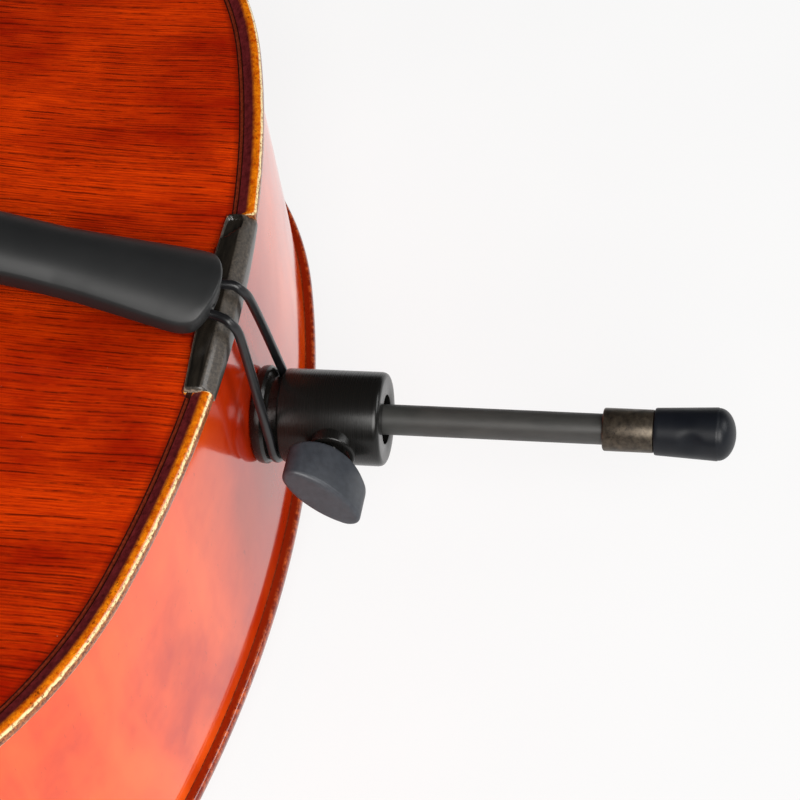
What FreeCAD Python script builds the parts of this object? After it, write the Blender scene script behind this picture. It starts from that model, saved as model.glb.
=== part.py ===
"""Full-size cello, lying on its back, as separate named pieces.

Every piece is modelled in the body frame: X across the body (treble side positive), Y along it
towards the scroll with 0 at the body's bottom edge, Z away from the back with 0 where the belly
meets the ribs.  The whole set is then shifted so that the origin is the bottom centre of its box.
Lengths are millimetres and angles are degrees.
"""

import FreeCAD
import Part
import math
import os

V = FreeCAD.Vector
X_AXIS = V(1, 0, 0)
Y_AXIS = V(0, 1, 0)
Z_AXIS = V(0, 0, 1)

# ---- body ----
BODY_LENGTH = 757.0
RIB_HEIGHT = 115.0
EDGE_THICK = 4.5
OVERHANG = 3.5
RIB_THICK = 1.5
BELLY_RISE = 22.5
BACK_RISE = 20.5
CHANNEL_MARGIN = 12.0
HOLLOW_MARGIN = 22.0
HOLLOW_STEP = 0.4
ARCH_SINK = 0.15
PURFLING_INSET = 6.2
PURFLING_WIDTH = 1.8
PURFLING_DEPTH = 2.0
END_RISE_LENGTH = 235.0
LINING_THICK = 2.2
LINING_HEIGHT = 14.0
LOWER_CORNER_Y = 289.0
UPPER_CORNER_Y = 501.5
BUTTON_RADIUS = 14.5

# Bout outlines as runs of (radius, turn); a positive turn bends left while walking the edge.
LOWER_BOUT = {"start": (0.0, 0.0), "heading": 0.0, "runs": [(442.0, 14.15), (150.0, 113.85), (30.0, -68.0)]}
C_BOUT = {"start": (183.0, 293.0), "heading": 187.0,
          "runs": [(42.0, -59.0), (148.0, -38.0), (165.0, -28.0), (38.0, -50.0)]}
UPPER_BOUT = {"start": (0.0, 0.0), "heading": 0.0, "runs": [(260.0, 20.37), (125.0, 99.63), (55.0, -60.0)]}

# Half-width of the arched area between the bouts, as (y, half-width) design points.
ARCH_WIDTHS = [(190.0, 217.0), (230.0, 200.0), (270.0, 162.0), (310.0, 129.0), (350.0, 117.0),
               (400.0, 113.0), (450.0, 116.0), (490.0, 127.0), (530.0, 144.0), (570.0, 161.0),
               (605.0, 170.5)]

# ---- strings, bridge and fingerboard ----
BRIDGE_Y = 355.0
BRIDGE_TOP_Z = 117.0
BRIDGE_FOOT_THICK = 11.0
BRIDGE_TOP_THICK = 2.8
STRING_NAMES = ["c", "g", "d", "a"]
STRING_DIAMETER = {"c": 1.65, "g": 1.25, "d": 0.95, "a": 0.75}
BRIDGE_SPACING = 16.0
NUT_SPACING = 7.4
TAILPIECE_SPACING = 13.0
CROWN_RADIUS = 64.0
NECK_LENGTH = 280.0
NUT_STRING_Z = -11.6
NUT_CLEARANCE = 1.5
BOARD_LENGTH = 580.0
BOARD_END_CLEARANCE = 7.0
BOARD_WIDTH_NUT = 32.0
BOARD_WIDTH_END = 62.0
BOARD_SIDE_THICK = 6.5
NUT_THICK = 7.0

# ---- pegbox, pegs and scroll (neck frame: v from the nut along the neck, w up from the board) ----
NECK_DEPTH_NUT = 20.0
NECK_DEPTH_HEEL = 23.0
PEGBOX_LENGTH = 150.0
PEGBOX_WALL = 8.5
PEG_PLACES = {"c": (28.0, -1), "a": (52.0, 1), "g": (82.0, -1), "d": (106.0, 1)}
PEG_DROP = 0.18
WINDING_START = {"c": -3.0, "g": -2.0, "d": -2.0, "a": -3.0}
PEG_RADIUS_WIDE = 7.0
PEG_TAPER = 0.03
SHAFT_CLEARANCE = 0.05
SCROLL_CENTRE = (166.0, -50.0)
SCROLL_RADIUS = 40.0
SCROLL_SHRINK_PER_TURN = 0.68
SCROLL_TURNS = 2.0
EYE_HALF_WIDTH = 32.0

# ---- tailpiece (own frame: s from the wide end towards the saddle, n up) ----
TAILPIECE_LENGTH = 236.0
TAILPIECE_THICK = 10.0
TAILPIECE_END_Y = 8.0
TAILPIECE_END_Z = 14.5
TAILPIECE_SHIFT = -7.5
SCREW_RADIUS = 1.75
LEVER_THICK = 4.6
TAILGUT_RADIUS = 1.55
TAILGUT_SPREAD = 6.0
TAILGUT_N = -1.5
GUT_BENDS_X = (-2.0, -15.8)
GUT_MOUTH = -5.2
SADDLE_HALF_LENGTH = 35.5
SADDLE_CENTRE_X = -2.0
SADDLE_END_HEIGHT = 5.9
SADDLE_DEPTH = 10.5
SADDLE_HEIGHT = 9.0

# ---- endpin (all on one axis, running towards -Y) ----
ENDPIN_Z = -55.0
ROD_RADIUS = 5.0
ROD_LENGTH = 520.0
SOCKET_RADIUS = 15.4
SOCKET_NEAR_Y = -5.0
SOCKET_FAR_Y = -38.9
MOUTH_RADIUS = 8.1
MOUTH_DEPTH = 9.0
PLUG_SHAFT_LENGTH = 48.0
PLUG_RADIUS_WIDE = 13.0
PLUG_RADIUS_NARROW = 11.5
PLUG_NECK_RADIUS = 12.6
FERRULE_Y = (-109.6, -125.9)
FERRULE_RADIUS = 6.95
RUBBER_END_Y = -151.8
RUBBER_RADIUS_NEAR = 7.6
RUBBER_RADIUS_FAR = 8.6
RUBBER_DOME = 5.6
SPIKE_RADIUS = 4.0
SPIKE_SHOULDER = 12.0
SPIKE_LENGTH = 19.0
THUMB_Y = -23.0
THUMB_TILT = 7.0
THUMB_TURN = 46.0
BUSH_RADIUS = 8.2
BUSH_REACH = 17.4
STUD_RADIUS = 4.0
STUD_PITCH = 1.25
PAD_REACH = 1.6
WING_HALF = 16.0
WING_HALF_THICK = 6.3
WING_END_THICK = 2.4
WING_TOP = 36.0
WING_BASE = 18.6
WING_BASE_ARC = 24.0


# ---------------------------------------------------------------- outline
def heading_vector(angle):
    return math.cos(math.radians(angle)), math.sin(math.radians(angle))


def trace(bout, inset=0.0):
    """Arcs of one bout as (start, middle, end) points, moved inwards by inset."""
    x, y = bout["start"]
    heading = bout["heading"]
    arcs = []
    for radius, turn in bout["runs"]:
        side = 1.0 if turn > 0 else -1.0
        cx = x - side * radius * math.sin(math.radians(heading))
        cy = y + side * radius * math.cos(math.radians(heading))
        arc = []
        for share in (0.0, 0.5, 1.0):
            h = math.radians(heading + share * turn)
            reach = side * radius - inset
            arc.append((cx + reach * math.sin(h), cy - reach * math.cos(h)))
        arcs.append(arc)
        heading += turn
        h = math.radians(heading)
        x = cx + side * radius * math.sin(h)
        y = cy - side * radius * math.cos(h)
    return arcs


def bout_points(bout, flip):
    """The arcs of a bout in the body frame; flip measures y down from the body's top."""
    arcs = trace(bout)
    if flip:
        arcs = [[(x, BODY_LENGTH - y) for x, y in arc] for arc in arcs]
    return arcs


def outline_wire(z=0.0):
    """The plate outline, with cut corners."""
    lower = bout_points(LOWER_BOUT, False)
    waist = bout_points(C_BOUT, False)
    upper = bout_points(UPPER_BOUT, True)
    upper = [arc[::-1] for arc in upper[::-1]]
    half = lower + [[lower[-1][2], waist[0][0]]] + waist + [[waist[-1][2], upper[0][0]]] + upper
    other = [[(-x, y) for x, y in run[::-1]] for run in half[::-1]]
    edges = []
    for run in half + other:
        points = [V(x, y, z) for x, y in run]
        if len(points) == 2:
            edges.append(Part.LineSegment(*points).toShape())
        else:
            edges.append(Part.Arc(*points).toShape())
    return Part.Wire(edges)


def inset_face(inset, z=0.0):
    """The face inside the outline, moved inwards by inset."""
    wire = outline_wire(z)
    if inset:
        wire = wire.makeOffset2D(-inset, 2)
    return Part.Face(wire)


def slab(inset, z_low, z_high):
    return inset_face(inset, z_low).extrude(V(0, 0, z_high - z_low))


def box(x0, x1, y0, y1, z0, z1):
    return Part.makeBox(x1 - x0, y1 - y0, z1 - z0, V(x0, y0, z0))


# ---------------------------------------------------------------- arching
def half_width(y):
    """Half-width of the arched area at y, smooth past the corners."""
    first_y, last_y = ARCH_WIDTHS[0][0], ARCH_WIDTHS[-1][0]
    if y < first_y:
        return end_width(y, LOWER_BOUT) * ARCH_WIDTHS[0][1] / end_width(first_y, LOWER_BOUT)
    if y > last_y:
        scale = ARCH_WIDTHS[-1][1] / end_width(BODY_LENGTH - last_y, UPPER_BOUT)
        return end_width(BODY_LENGTH - y, UPPER_BOUT) * scale
    for (y0, w0), (y1, w1) in zip(ARCH_WIDTHS, ARCH_WIDTHS[1:]):
        if y0 <= y <= y1:
            t = (y - y0) / (y1 - y0)
            return w0 + (w1 - w0) * t
    return 0.0


def end_width(distance, bout):
    """Half-width of a bout at a distance from its end, from its first two arcs."""
    (big, turn), (small, _), _ = bout["runs"]
    cx = (big - small) * math.sin(math.radians(turn))
    cy = big - (big - small) * math.cos(math.radians(turn))
    join = big - big * math.cos(math.radians(turn))
    if distance <= 0:
        return 0.0
    if distance < join:
        return math.sqrt(big ** 2 - (big - distance) ** 2)
    return cx + math.sqrt(max(small ** 2 - (cy - distance) ** 2, 0.0))


def bell(t):
    """Smooth rise from 0 at t = 0 to 1 at t = 1, level at both ends."""
    t = min(max(t, 0.0), 1.0)
    return (1 - math.cos(math.pi * t)) / 2


def arch(x, y, rise, margin):
    """Height of a plate's arch above its flat edge."""
    width = half_width(y) - margin
    if width <= 1.0:
        return 0.0
    across = bell(1 - abs(x) / width)
    along = bell((y - margin) / END_RISE_LENGTH) * bell((BODY_LENGTH - margin - y) / END_RISE_LENGTH)
    return rise * across * along


def arch_surface(rise, margin, base, sign):
    """A face at base + sign * arch over the whole plate and a little beyond."""
    columns, rows, beyond = 44, 74, 14.0
    x_span, y_span = 2 * 221.5 + 2 * beyond, BODY_LENGTH + 2 * beyond + 30.0
    grid = []
    for i in range(columns + 1):
        x = -x_span / 2 + x_span * i / columns
        column = []
        for j in range(rows + 1):
            y = -beyond + y_span * j / rows
            column.append(V(x, y, base + sign * arch(x, y, rise, margin)))
        grid.append(column)
    surface = Part.BSplineSurface()
    surface.interpolate(grid)
    return surface.toShape()


# ---------------------------------------------------------------- f-holes
F_HOLE_LINE = [(47.5, 417.0), (46.0, 425.0), (51.5, 431.5), (61.0, 429.0), (68.5, 415.0), (73.0, 392.0),
               (76.5, 357.0), (80.0, 322.0), (84.5, 301.0), (92.0, 290.0), (101.0, 289.5), (105.5, 297.0)]
F_HOLE_UPPER_EYE = ((52.5, 415.5), 6.5)
F_HOLE_LOWER_EYE = ((98.5, 302.0), 8.6)
F_HOLE_STEM_WIDTH = 9.0
F_HOLE_TIP_WIDTH = 3.0


def f_hole_cutter(side):
    """A prism through the belly with the outline of one sound hole."""
    line = Part.BSplineCurve()
    line.interpolate([V(x, y, 0) for x, y in F_HOLE_LINE])
    first, last = line.FirstParameter, line.LastParameter
    left, right = [], []
    steps = 26
    for i in range(steps + 1):
        u = first + (last - first) * i / steps
        p, t = line.value(u), line.tangent(u)[0]
        swell = math.sin(math.pi * i / steps) ** 2
        width = F_HOLE_TIP_WIDTH + (F_HOLE_STEM_WIDTH - F_HOLE_TIP_WIDTH) * swell
        n = V(-t.y, t.x, 0) * (width / 2)
        left.append(p + n)
        right.append(p - n)
    sides = []
    for points in (left, right):
        curve = Part.BSplineCurve()
        curve.interpolate(points)
        sides.append(curve.toShape())
    caps = [Part.LineSegment(left[0], right[0]).toShape(), Part.LineSegment(left[-1], right[-1]).toShape()]
    stem = Part.Face(Part.Wire(Part.__sortEdges__(sides + caps)))
    cutter = stem.extrude(V(0, 0, 60))
    for (x, y), radius in (F_HOLE_UPPER_EYE, F_HOLE_LOWER_EYE):
        cutter = cutter.fuse(Part.makeCylinder(radius, 60, V(x, y, 0)))
    cutter.translate(V(0, 0, -10))
    return cutter if side > 0 else cutter.mirror(V(0, 0, 0), X_AXIS)


# ---------------------------------------------------------------- body pieces
def plate(rise, sign, seat_z):
    """One arched, hollowed plate; sign is +1 for the belly and -1 for the back."""
    tall, rim = 60.0, seat_z + sign * EDGE_THICK
    outer = arch_surface(rise + ARCH_SINK, CHANNEL_MARGIN, rim - sign * ARCH_SINK, sign)
    inner = arch_surface(rise - 0.6, HOLLOW_MARGIN, seat_z + sign * HOLLOW_STEP, sign)
    low, high = sorted((seat_z, rim))
    border = slab(0.0, low, high)
    if sign < 0:
        button = Part.makeCylinder(BUTTON_RADIUS, EDGE_THICK, V(0, BODY_LENGTH + 6.0, low))
        border = border.fuse(button).removeSplitter()
    low, high = sorted((seat_z, seat_z + sign * tall))
    dome = slab(CHANNEL_MARGIN, low, high).cut(outer.extrude(V(0, 0, sign * 2 * tall)))
    solid = border.fuse(dome).removeSplitter()
    low, high = sorted((seat_z - sign * 1.0, seat_z + sign * tall))
    hollow = slab(HOLLOW_MARGIN, low, high).cut(inner.extrude(V(0, 0, sign * 2 * tall)))
    return solid.cut(hollow), hollow


def purfling(top_z, depth):
    """Inlaid strip round a plate, as deep as depth, whose outer face is at top_z."""
    low, high = sorted((top_z, top_z + depth))
    ring = slab(PURFLING_INSET, low, high).cut(slab(PURFLING_INSET + PURFLING_WIDTH, low - 1, high + 1))
    return ring


def rib_pieces():
    ring = slab(OVERHANG, -RIB_HEIGHT, 0).cut(slab(OVERHANG + RIB_THICK, -RIB_HEIGHT - 1, 1))
    far = 1000.0
    bands = {"lower": (-far, LOWER_CORNER_Y), "c": (LOWER_CORNER_Y, UPPER_CORNER_Y),
             "upper": (UPPER_CORNER_Y, far)}
    pieces = {}
    for bout, (y0, y1) in bands.items():
        for side, (x0, x1) in {"bass": (-far, 0), "treble": (0, far)}.items():
            pieces[f"{bout}_rib_{side}"] = ring.common(box(x0, x1, y0, y1, -200, 50))
    return pieces


def inside_block(x0, x1, y0, y1):
    """A block that fills the ribs' inside within a rectangle."""
    return slab(OVERHANG + RIB_THICK, -RIB_HEIGHT, 0).common(box(x0, x1, y0, y1, -200, 50))


def corner_blocks():
    blocks = []
    for side in (-1, 1):
        for y0, y1, x0, x1 in ((262.0, 322.0, 146.0, 210.0), (470.0, 532.0, 122.0, 190.0)):
            low, high = sorted((side * x0, side * x1))
            blocks.append(inside_block(low, high, y0, y1))
    return blocks


def linings(z0, z1, keep_out):
    ring = slab(OVERHANG + RIB_THICK, z0, z1).cut(slab(OVERHANG + RIB_THICK + LINING_THICK, z0 - 1, z1 + 1))
    for block in keep_out:
        ring = ring.cut(block)
    return ring


def bass_bar(hollow):
    """A bar under the bass foot of the bridge, its top fitted to the belly's inside."""
    y0, y1, x, width = 95.0, 660.0, -38.0, 11.0
    middle = (y0 + y1) / 2
    curve = Part.Arc(V(x, y0, 1.5), V(x, middle, -4.0), V(x, y1, 1.5)).toShape()
    top = [V(x, y1, 50), V(x, y0, 50)]
    edges = [curve, Part.LineSegment(V(x, y1, 1.5), top[0]).toShape(), Part.LineSegment(*top).toShape(),
             Part.LineSegment(top[1], V(x, y0, 1.5)).toShape()]
    blank = Part.Face(Part.Wire(edges)).extrude(V(width, 0, 0))
    under = hollow.fuse(slab(HOLLOW_MARGIN, -30, -0.5)).removeSplitter()
    return blank.common(under)


def sound_post(belly_hollow, back_hollow):
    x, y, radius = 37.0, BRIDGE_Y - 17.0, 5.5
    middle = slab(HOLLOW_MARGIN, -RIB_HEIGHT + 0.5, -0.5)
    post = Part.makeCylinder(radius, 400, V(x, y, -200))
    inside = post.common(belly_hollow).fuse(post.common(back_hollow)).fuse(post.common(middle))
    return inside.removeSplitter()


# ---------------------------------------------------------------- bridge, saddle
def closed_spline_face(points, plane_y):
    curve = Part.BSplineCurve()
    curve.interpolate([V(x, plane_y, z) for x, z in points], PeriodicFlag=True)
    return Part.Face(Part.Wire(curve.toShape()))


BRIDGE_HALF = [(25.0, 14.0), (46.0, 14.0), (45.5, 25.0), (38.5, 31.0), (34.5, 44.0), (33.0, 57.0),
               (36.5, 66.0),
               (43.0, 71.0), (45.0, 79.0), (41.5, 91.0), (35.0, 103.0), (31.0, 109.0)]
BRIDGE_HEART = [(0, 66), (5, 61), (11, 66), (13, 74), (8, 80), (3, 77), (0, 72),
                (-3, 77), (-8, 80), (-13, 74), (-11, 66), (-5, 61)]
BRIDGE_KIDNEY = [(22.5, 66.0), (28.0, 70.0), (36.0, 76.0), (38.5, 82.0), (33.0, 86.5), (27.0, 83.0),
                 (22.0, 76.0)]


def bridge(belly_face):
    """Cut maple bridge, thinner towards the top, its feet fitted to the belly."""
    y0 = -20.0
    right = [V(x, y0, z) for x, z in BRIDGE_HALF]
    left = [V(-p.x, y0, p.z) for p in right[::-1]]
    crown = Part.Arc(right[-1], V(0, y0, BRIDGE_TOP_Z + 0.3), left[0]).toShape()
    arch_top = Part.Arc(left[-1], V(0, y0, 47), right[0]).toShape()
    runs = []
    for side in (right, left):
        foot, leg = (side[:3], side[2:]) if side is right else (side[-3:], side[:-2])
        curve = Part.BSplineCurve()
        curve.interpolate(leg)
        runs.append(curve.toShape())
        runs += [Part.LineSegment(a, b).toShape() for a, b in zip(foot, foot[1:])]
    face = Part.Face(Part.Wire(Part.__sortEdges__(runs + [crown, arch_top])))
    blank = face.extrude(V(0, 40, 0))
    holes = [BRIDGE_HEART, BRIDGE_KIDNEY, [(-x, z) for x, z in BRIDGE_KIDNEY[::-1]]]
    for hole in holes:
        blank = blank.cut(closed_spline_face(hole, y0 - 5).extrude(V(0, 60, 0)))
    half_foot, half_top = BRIDGE_FOOT_THICK / 2, BRIDGE_TOP_THICK / 2
    wedge_points = [V(-80, -half_foot, 0), V(-80, half_foot, 0), V(-80, half_top - 1.35, BRIDGE_TOP_Z + 5),
                    V(-80, -half_top - 1.35, BRIDGE_TOP_Z + 5), V(-80, -half_foot, 0)]
    wedge = Part.Face(Part.makePolygon(wedge_points)).extrude(V(160, 0, 0))
    body = blank.common(wedge)
    body.translate(V(0, BRIDGE_Y, 0))
    return body.cut(belly_face.extrude(V(0, 0, -60)))


def string_top(x, centre_z):
    """Height of the crowned string plane at x."""
    return centre_z - x * x / (2 * CROWN_RADIUS)


def saddle():
    """Ebony rest let into the belly's edge, crowned where the tailgut crosses."""
    half, depth = SADDLE_HALF_LENGTH, SADDLE_DEPTH
    left, right = V(-half, 0, SADDLE_END_HEIGHT), V(half, 0, SADDLE_END_HEIGHT)
    crown = V(0, 0, SADDLE_HEIGHT)
    foot_right, foot_left = V(half, 0, 0), V(-half, 0, 0)
    sides = [Part.LineSegment(right, foot_right).toShape(),
             Part.LineSegment(foot_right, foot_left).toShape(),
             Part.LineSegment(foot_left, left).toShape()]
    arc = Part.Arc(left, crown, right).toShape()
    block = Part.Face(Part.Wire([arc] + sides)).extrude(V(0, depth + 2, 0))
    block.translate(V(SADDLE_CENTRE_X, -2, 0))
    nose = box(-60, 60, -12, 0, -10, 5)
    nose.rotate(V(0, 0, 5.2), X_AXIS, -32)
    return block.cut(nose).common(saddle_slot())


def saddle_slot():
    half = SADDLE_HALF_LENGTH
    outer = inset_face(0.0).extrude(V(0, 0, 40))
    return outer.common(box(SADDLE_CENTRE_X - half, SADDLE_CENTRE_X + half, -5, SADDLE_DEPTH, 0, 40))


# ---------------------------------------------------------------- neck frame
def board_slope():
    """Slope of the fingerboard's top line against the body."""
    string_slope = (BRIDGE_TOP_Z - NUT_STRING_Z) / (BODY_LENGTH + NECK_LENGTH - BRIDGE_Y)
    return string_slope - (BOARD_END_CLEARANCE - NUT_CLEARANCE) / BOARD_LENGTH


NUT_Y = BODY_LENGTH + NECK_LENGTH
NECK_ANGLE = math.degrees(math.atan(board_slope()))
BOARD_DROP = BOARD_SIDE_THICK + CROWN_RADIUS - math.sqrt(CROWN_RADIUS ** 2 - (BOARD_WIDTH_NUT / 2) ** 2)
NECK_ORIGIN = V(0, NUT_Y, NUT_STRING_Z - NUT_CLEARANCE - BOARD_DROP)
NECK_PLACE = FreeCAD.Placement(NECK_ORIGIN, FreeCAD.Rotation(X_AXIS, -NECK_ANGLE))


def placed(shape, placement):
    shape = shape.copy()
    shape.Placement = placement.multiply(shape.Placement)
    return shape


def neck_point(x, v, w):
    return NECK_PLACE.multVec(V(x, v, w))


def half_round(width, depth, v, lift=0.0):
    """A neck cross-section: flat on top, half an ellipse below."""
    a = width / 2
    top = Part.LineSegment(V(-a, v, lift), V(a, v, lift)).toShape()
    k = 0.72
    low = Part.BSplineCurve()
    low.interpolate([V(a, v, lift), V(a * 0.98, v, -depth * 0.35), V(a * k, v, -depth * 0.80),
                     V(0, v, -depth), V(-a * k, v, -depth * 0.80),
                     V(-a * 0.98, v, -depth * 0.35), V(-a, v, lift)])
    return Part.Wire([top, low.toShape()])


def neck_shaft():
    sections = [half_round(34, NECK_DEPTH_NUT + 1, 6), half_round(33, NECK_DEPTH_NUT, -30),
                half_round(38, NECK_DEPTH_NUT + 1.5, -140), half_round(42.5, NECK_DEPTH_HEEL, -232),
                half_round(44.5, NECK_DEPTH_HEEL + 3, -262)]
    return placed(Part.makeLoft(sections, True, False), NECK_PLACE)


def heel_section(z, width, reach):
    """A horizontal slice of the neck's foot: square at the body, round outside."""
    y0, a = BODY_LENGTH - 8.0, width / 2
    y1 = BODY_LENGTH + reach
    p = [V(-a, y0, z), V(-a, y1 - a * 0.8, z), V(0, y1, z), V(a, y1 - a * 0.8, z), V(a, y0, z)]
    nose = Part.Arc(p[1], p[2], p[3]).toShape()
    lines = [Part.LineSegment(p[0], p[1]).toShape(), nose, Part.LineSegment(p[3], p[4]).toShape(),
             Part.LineSegment(p[4], p[0]).toShape()]
    return Part.Wire(lines)


HEEL = [(-RIB_HEIGHT, 27.0, 19.0), (-90.0, 29.0, 21.0), (-50.0, 33.0, 25.0), (-20.0, 37.5, 32.0),
        (-2.0, 41.0, 44.0), (9.0, 43.0, 62.0)]


def heel():
    loft = Part.makeLoft([heel_section(*row) for row in HEEL], True, False)
    cap = Part.Face(heel_section(*HEEL[-1])).extrude(V(0, 0, 40))
    above = placed(box(-60, 60, -700, 200, 0.0, 100), NECK_PLACE)
    return loft.fuse(cap).cut(above).removeSplitter()


def pegbox():
    """Open box behind the nut: side profile extruded across, then hollowed from the front."""
    length = PEGBOX_LENGTH
    front = Part.BSplineCurve()
    front.interpolate([V(0, 3, 0), V(0, 60, -6.5), V(0, 110, -16.5), V(0, length, -32)])
    back = Part.BSplineCurve()
    back.interpolate([V(0, 3, -24), V(0, 22, -46), V(0, 70, -60.5), V(0, 120, -76), V(0, length + 12, -89)])
    edges = [front.toShape(), back.toShape(), Part.LineSegment(V(0, 3, 0), V(0, 3, -24)).toShape(),
             Part.LineSegment(V(0, length, -32), V(0, length + 12, -89)).toShape()]
    side = Part.Face(Part.Wire(Part.__sortEdges__(edges)))
    block = side.extrude(V(80, 0, 0))
    block.translate(V(-40, 0, 0))
    plan = [V(-21, 0, 0), V(-21, 30, 0), V(-16.5, length, 0), V(-15, length + 20, 0), V(15, length + 20, 0),
            V(16.5, length, 0), V(21, 30, 0), V(21, 0, 0), V(-21, 0, 0)]
    plan_prism = Part.Face(Part.makePolygon(plan)).extrude(V(0, 0, 120))
    plan_prism.translate(V(0, 0, -100))
    block = block.common(plan_prism)
    wall = PEGBOX_WALL
    inner = [V(-21 + wall, 12, 0), V(-21 + wall, 30, 0), V(-16.5 + wall, 132, 0), V(16.5 - wall, 132, 0),
             V(21 - wall, 30, 0), V(21 - wall, 12, 0), V(-21 + wall, 12, 0)]
    trough = Part.Face(Part.makePolygon(inner)).extrude(V(0, 0, 200))
    floor = [V(-30, 5, -26), V(-30, 30, -41), V(-30, 90, -56), V(-30, 140, -66), V(-30, 140, 60),
             V(-30, 5, 60),
             V(-30, 5, -26)]
    trough.translate(V(0, 0, -100))
    trough = trough.common(Part.Face(Part.makePolygon(floor)).extrude(V(60, 0, 0)))
    return placed(block.cut(trough), NECK_PLACE)


def scroll_radius(turns):
    return SCROLL_RADIUS * math.exp(-SCROLL_SHRINK_PER_TURN * turns)


def scroll_half_width(turns):
    """Narrowest over the top of the scroll, widest at the eye."""
    if turns < 0.5:
        return 16.0 - 4.0 * bell(turns / 0.5)
    return 12.0 + (EYE_HALF_WIDTH - 12.0) * ((turns - 0.5) / (SCROLL_TURNS - 0.5)) ** 1.15


def scroll_section(turns, inner_share):
    """A rectangle through the scroll's axis, at an angle counted in turns from the back of the scroll."""
    angle = math.radians(-90 + 360 * turns)
    cv, cw = SCROLL_CENTRE
    dv, dw = math.cos(angle), math.sin(angle)
    r1, a = scroll_radius(turns), scroll_half_width(turns)
    r0 = r1 * inner_share
    points = [V(x, cv + r * dv, cw + r * dw) for x, r in ((-a, r0), (-a, r1), (a, r1), (a, r0), (-a, r0))]
    return Part.makePolygon(points)


def scroll():
    """Two tapering turns round a wide eye."""
    cv, cw = SCROLL_CENTRE
    eye_radius = scroll_radius(SCROLL_TURNS) * 1.02
    solid = Part.makeCylinder(eye_radius, 2 * EYE_HALF_WIDTH + 2, V(-EYE_HALF_WIDTH - 1, cv, cw), X_AXIS)
    per_turn = 12
    for first, last, inner in ((0.0, 0.5, 0.3), (0.5, 1.0, 0.3), (1.0, 1.5, 0.4), (1.5, 2.0, 0.4)):
        count = int(round((last - first) * per_turn))
        sections = [scroll_section(first + (last - first) * i / count, inner) for i in range(count + 1)]
        solid = solid.fuse(Part.makeLoft(sections, True, False))
    core = Part.makeCylinder(scroll_radius(1.0), 24.0, V(-12.0, cv, cw), X_AXIS)
    return placed(solid.fuse(core), NECK_PLACE)


def peg_frame(name):
    """Placement of a peg: local Z runs along the peg from its head side to its tip."""
    v, side = PEG_PLACES[name]
    w = -19.0 - PEG_DROP * v
    centre = neck_point(0, v, w)
    direction = V(-side, 0, 0)
    return FreeCAD.Placement(centre, FreeCAD.Rotation(Z_AXIS, direction))


def peg_radius(z):
    return PEG_RADIUS_WIDE - PEG_TAPER * (z + 21)


PEG_SHAFT = (-21.0 - 4.0, 24.0)


def peg_hole(name):
    z0, z1 = PEG_SHAFT[0] - 3, PEG_SHAFT[1] + 8
    cone = Part.makeCone(peg_radius(z0) + SHAFT_CLEARANCE, peg_radius(z1) + SHAFT_CLEARANCE, z1 - z0,
                         V(0, 0, z0))
    return placed(cone, peg_frame(name))


def neck_and_scroll():
    solid = pegbox().fuse(scroll()).fuse(neck_shaft()).fuse(heel())
    seat = placed(box(-40, 40, -0.5, 10.5, -3.0, 60), NECK_PLACE)
    solid = solid.cut(seat)
    for name in STRING_NAMES:
        solid = solid.cut(peg_hole(name))
    return solid.removeSplitter()


def peg(name):
    """Tapered peg with a collar and a flat thumb piece."""
    z0, z1 = PEG_SHAFT
    r0, r1 = peg_radius(z0), peg_radius(z1)
    profile = [V(0, 0, z0 - 20), V(3.6, 0, z0 - 20), V(4.2, 0, z0 - 12), V(5.6, 0, z0 - 7),
               V(8.6, 0, z0 - 4.5),
               V(9.0, 0, z0 - 3), V(9.0, 0, z0 - 2.0), V(8.4, 0, z0 - 1.0), V(r0, 0, z0),
               V(r1, 0, z1), V(r1 - 0.8, 0, z1 + 0.8),
               V(0, 0, z1 + 1.2), V(0, 0, z0 - 20)]
    shaft = Part.Face(Part.makePolygon(profile)).revolve(V(0, 0, 0), Z_AXIS, 360)
    ball = Part.makeSphere(1.0)
    stretch = FreeCAD.Matrix()
    stretch.scale(16.5, 4.6, 15.0)
    thumb = ball.transformGeometry(stretch)
    thumb.translate(V(0, 0, z0 - 25))
    return placed(shaft.fuse(thumb), peg_frame(name))


def fingerboard():
    """Ebony board: crowned top, flat underside, tapering towards the nut."""
    sections = []
    for v, width in ((0.0, BOARD_WIDTH_NUT), (-BOARD_LENGTH, BOARD_WIDTH_END)):
        a = width / 2
        crown = CROWN_RADIUS - math.sqrt(CROWN_RADIUS ** 2 - a * a)
        side = BOARD_DROP - crown
        arc = Part.Arc(V(a, v, side), V(0, v, BOARD_DROP), V(-a, v, side)).toShape()
        bottom = [Part.LineSegment(V(-a, v, side), V(-a, v, 0)).toShape(),
                  Part.LineSegment(V(-a, v, 0), V(a, v, 0)).toShape(),
                  Part.LineSegment(V(a, v, 0), V(a, v, side)).toShape()]
        sections.append(Part.Wire([arc] + bottom))
    board = Part.makeLoft(sections, True, True)
    hollow = Part.makeCylinder(40.0, 180, V(0, -BOARD_LENGTH - 5, -35.5), Y_AXIS)
    return placed(board.cut(hollow), NECK_PLACE)


def nut():
    a = BOARD_WIDTH_NUT / 2
    top = BOARD_DROP + 1.6
    side = top - (CROWN_RADIUS - math.sqrt(CROWN_RADIUS ** 2 - a * a))
    arc = Part.Arc(V(a, 0, side), V(0, 0, top), V(-a, 0, side)).toShape()
    edges = [arc, Part.LineSegment(V(-a, 0, side), V(-a, 0, -3)).toShape(),
             Part.LineSegment(V(-a, 0, -3), V(a, 0, -3)).toShape(),
             Part.LineSegment(V(a, 0, -3), V(a, 0, side)).toShape()]
    block = Part.Face(Part.Wire(edges)).extrude(V(0, NUT_THICK, 0))
    slope = box(-40, 40, 0, 20, 0, 20)
    slope.rotate(V(0, 0, 0), X_AXIS, -28)
    slope.translate(V(0, 2.6, top + 0.1))
    return placed(block.cut(slope), NECK_PLACE)


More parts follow.
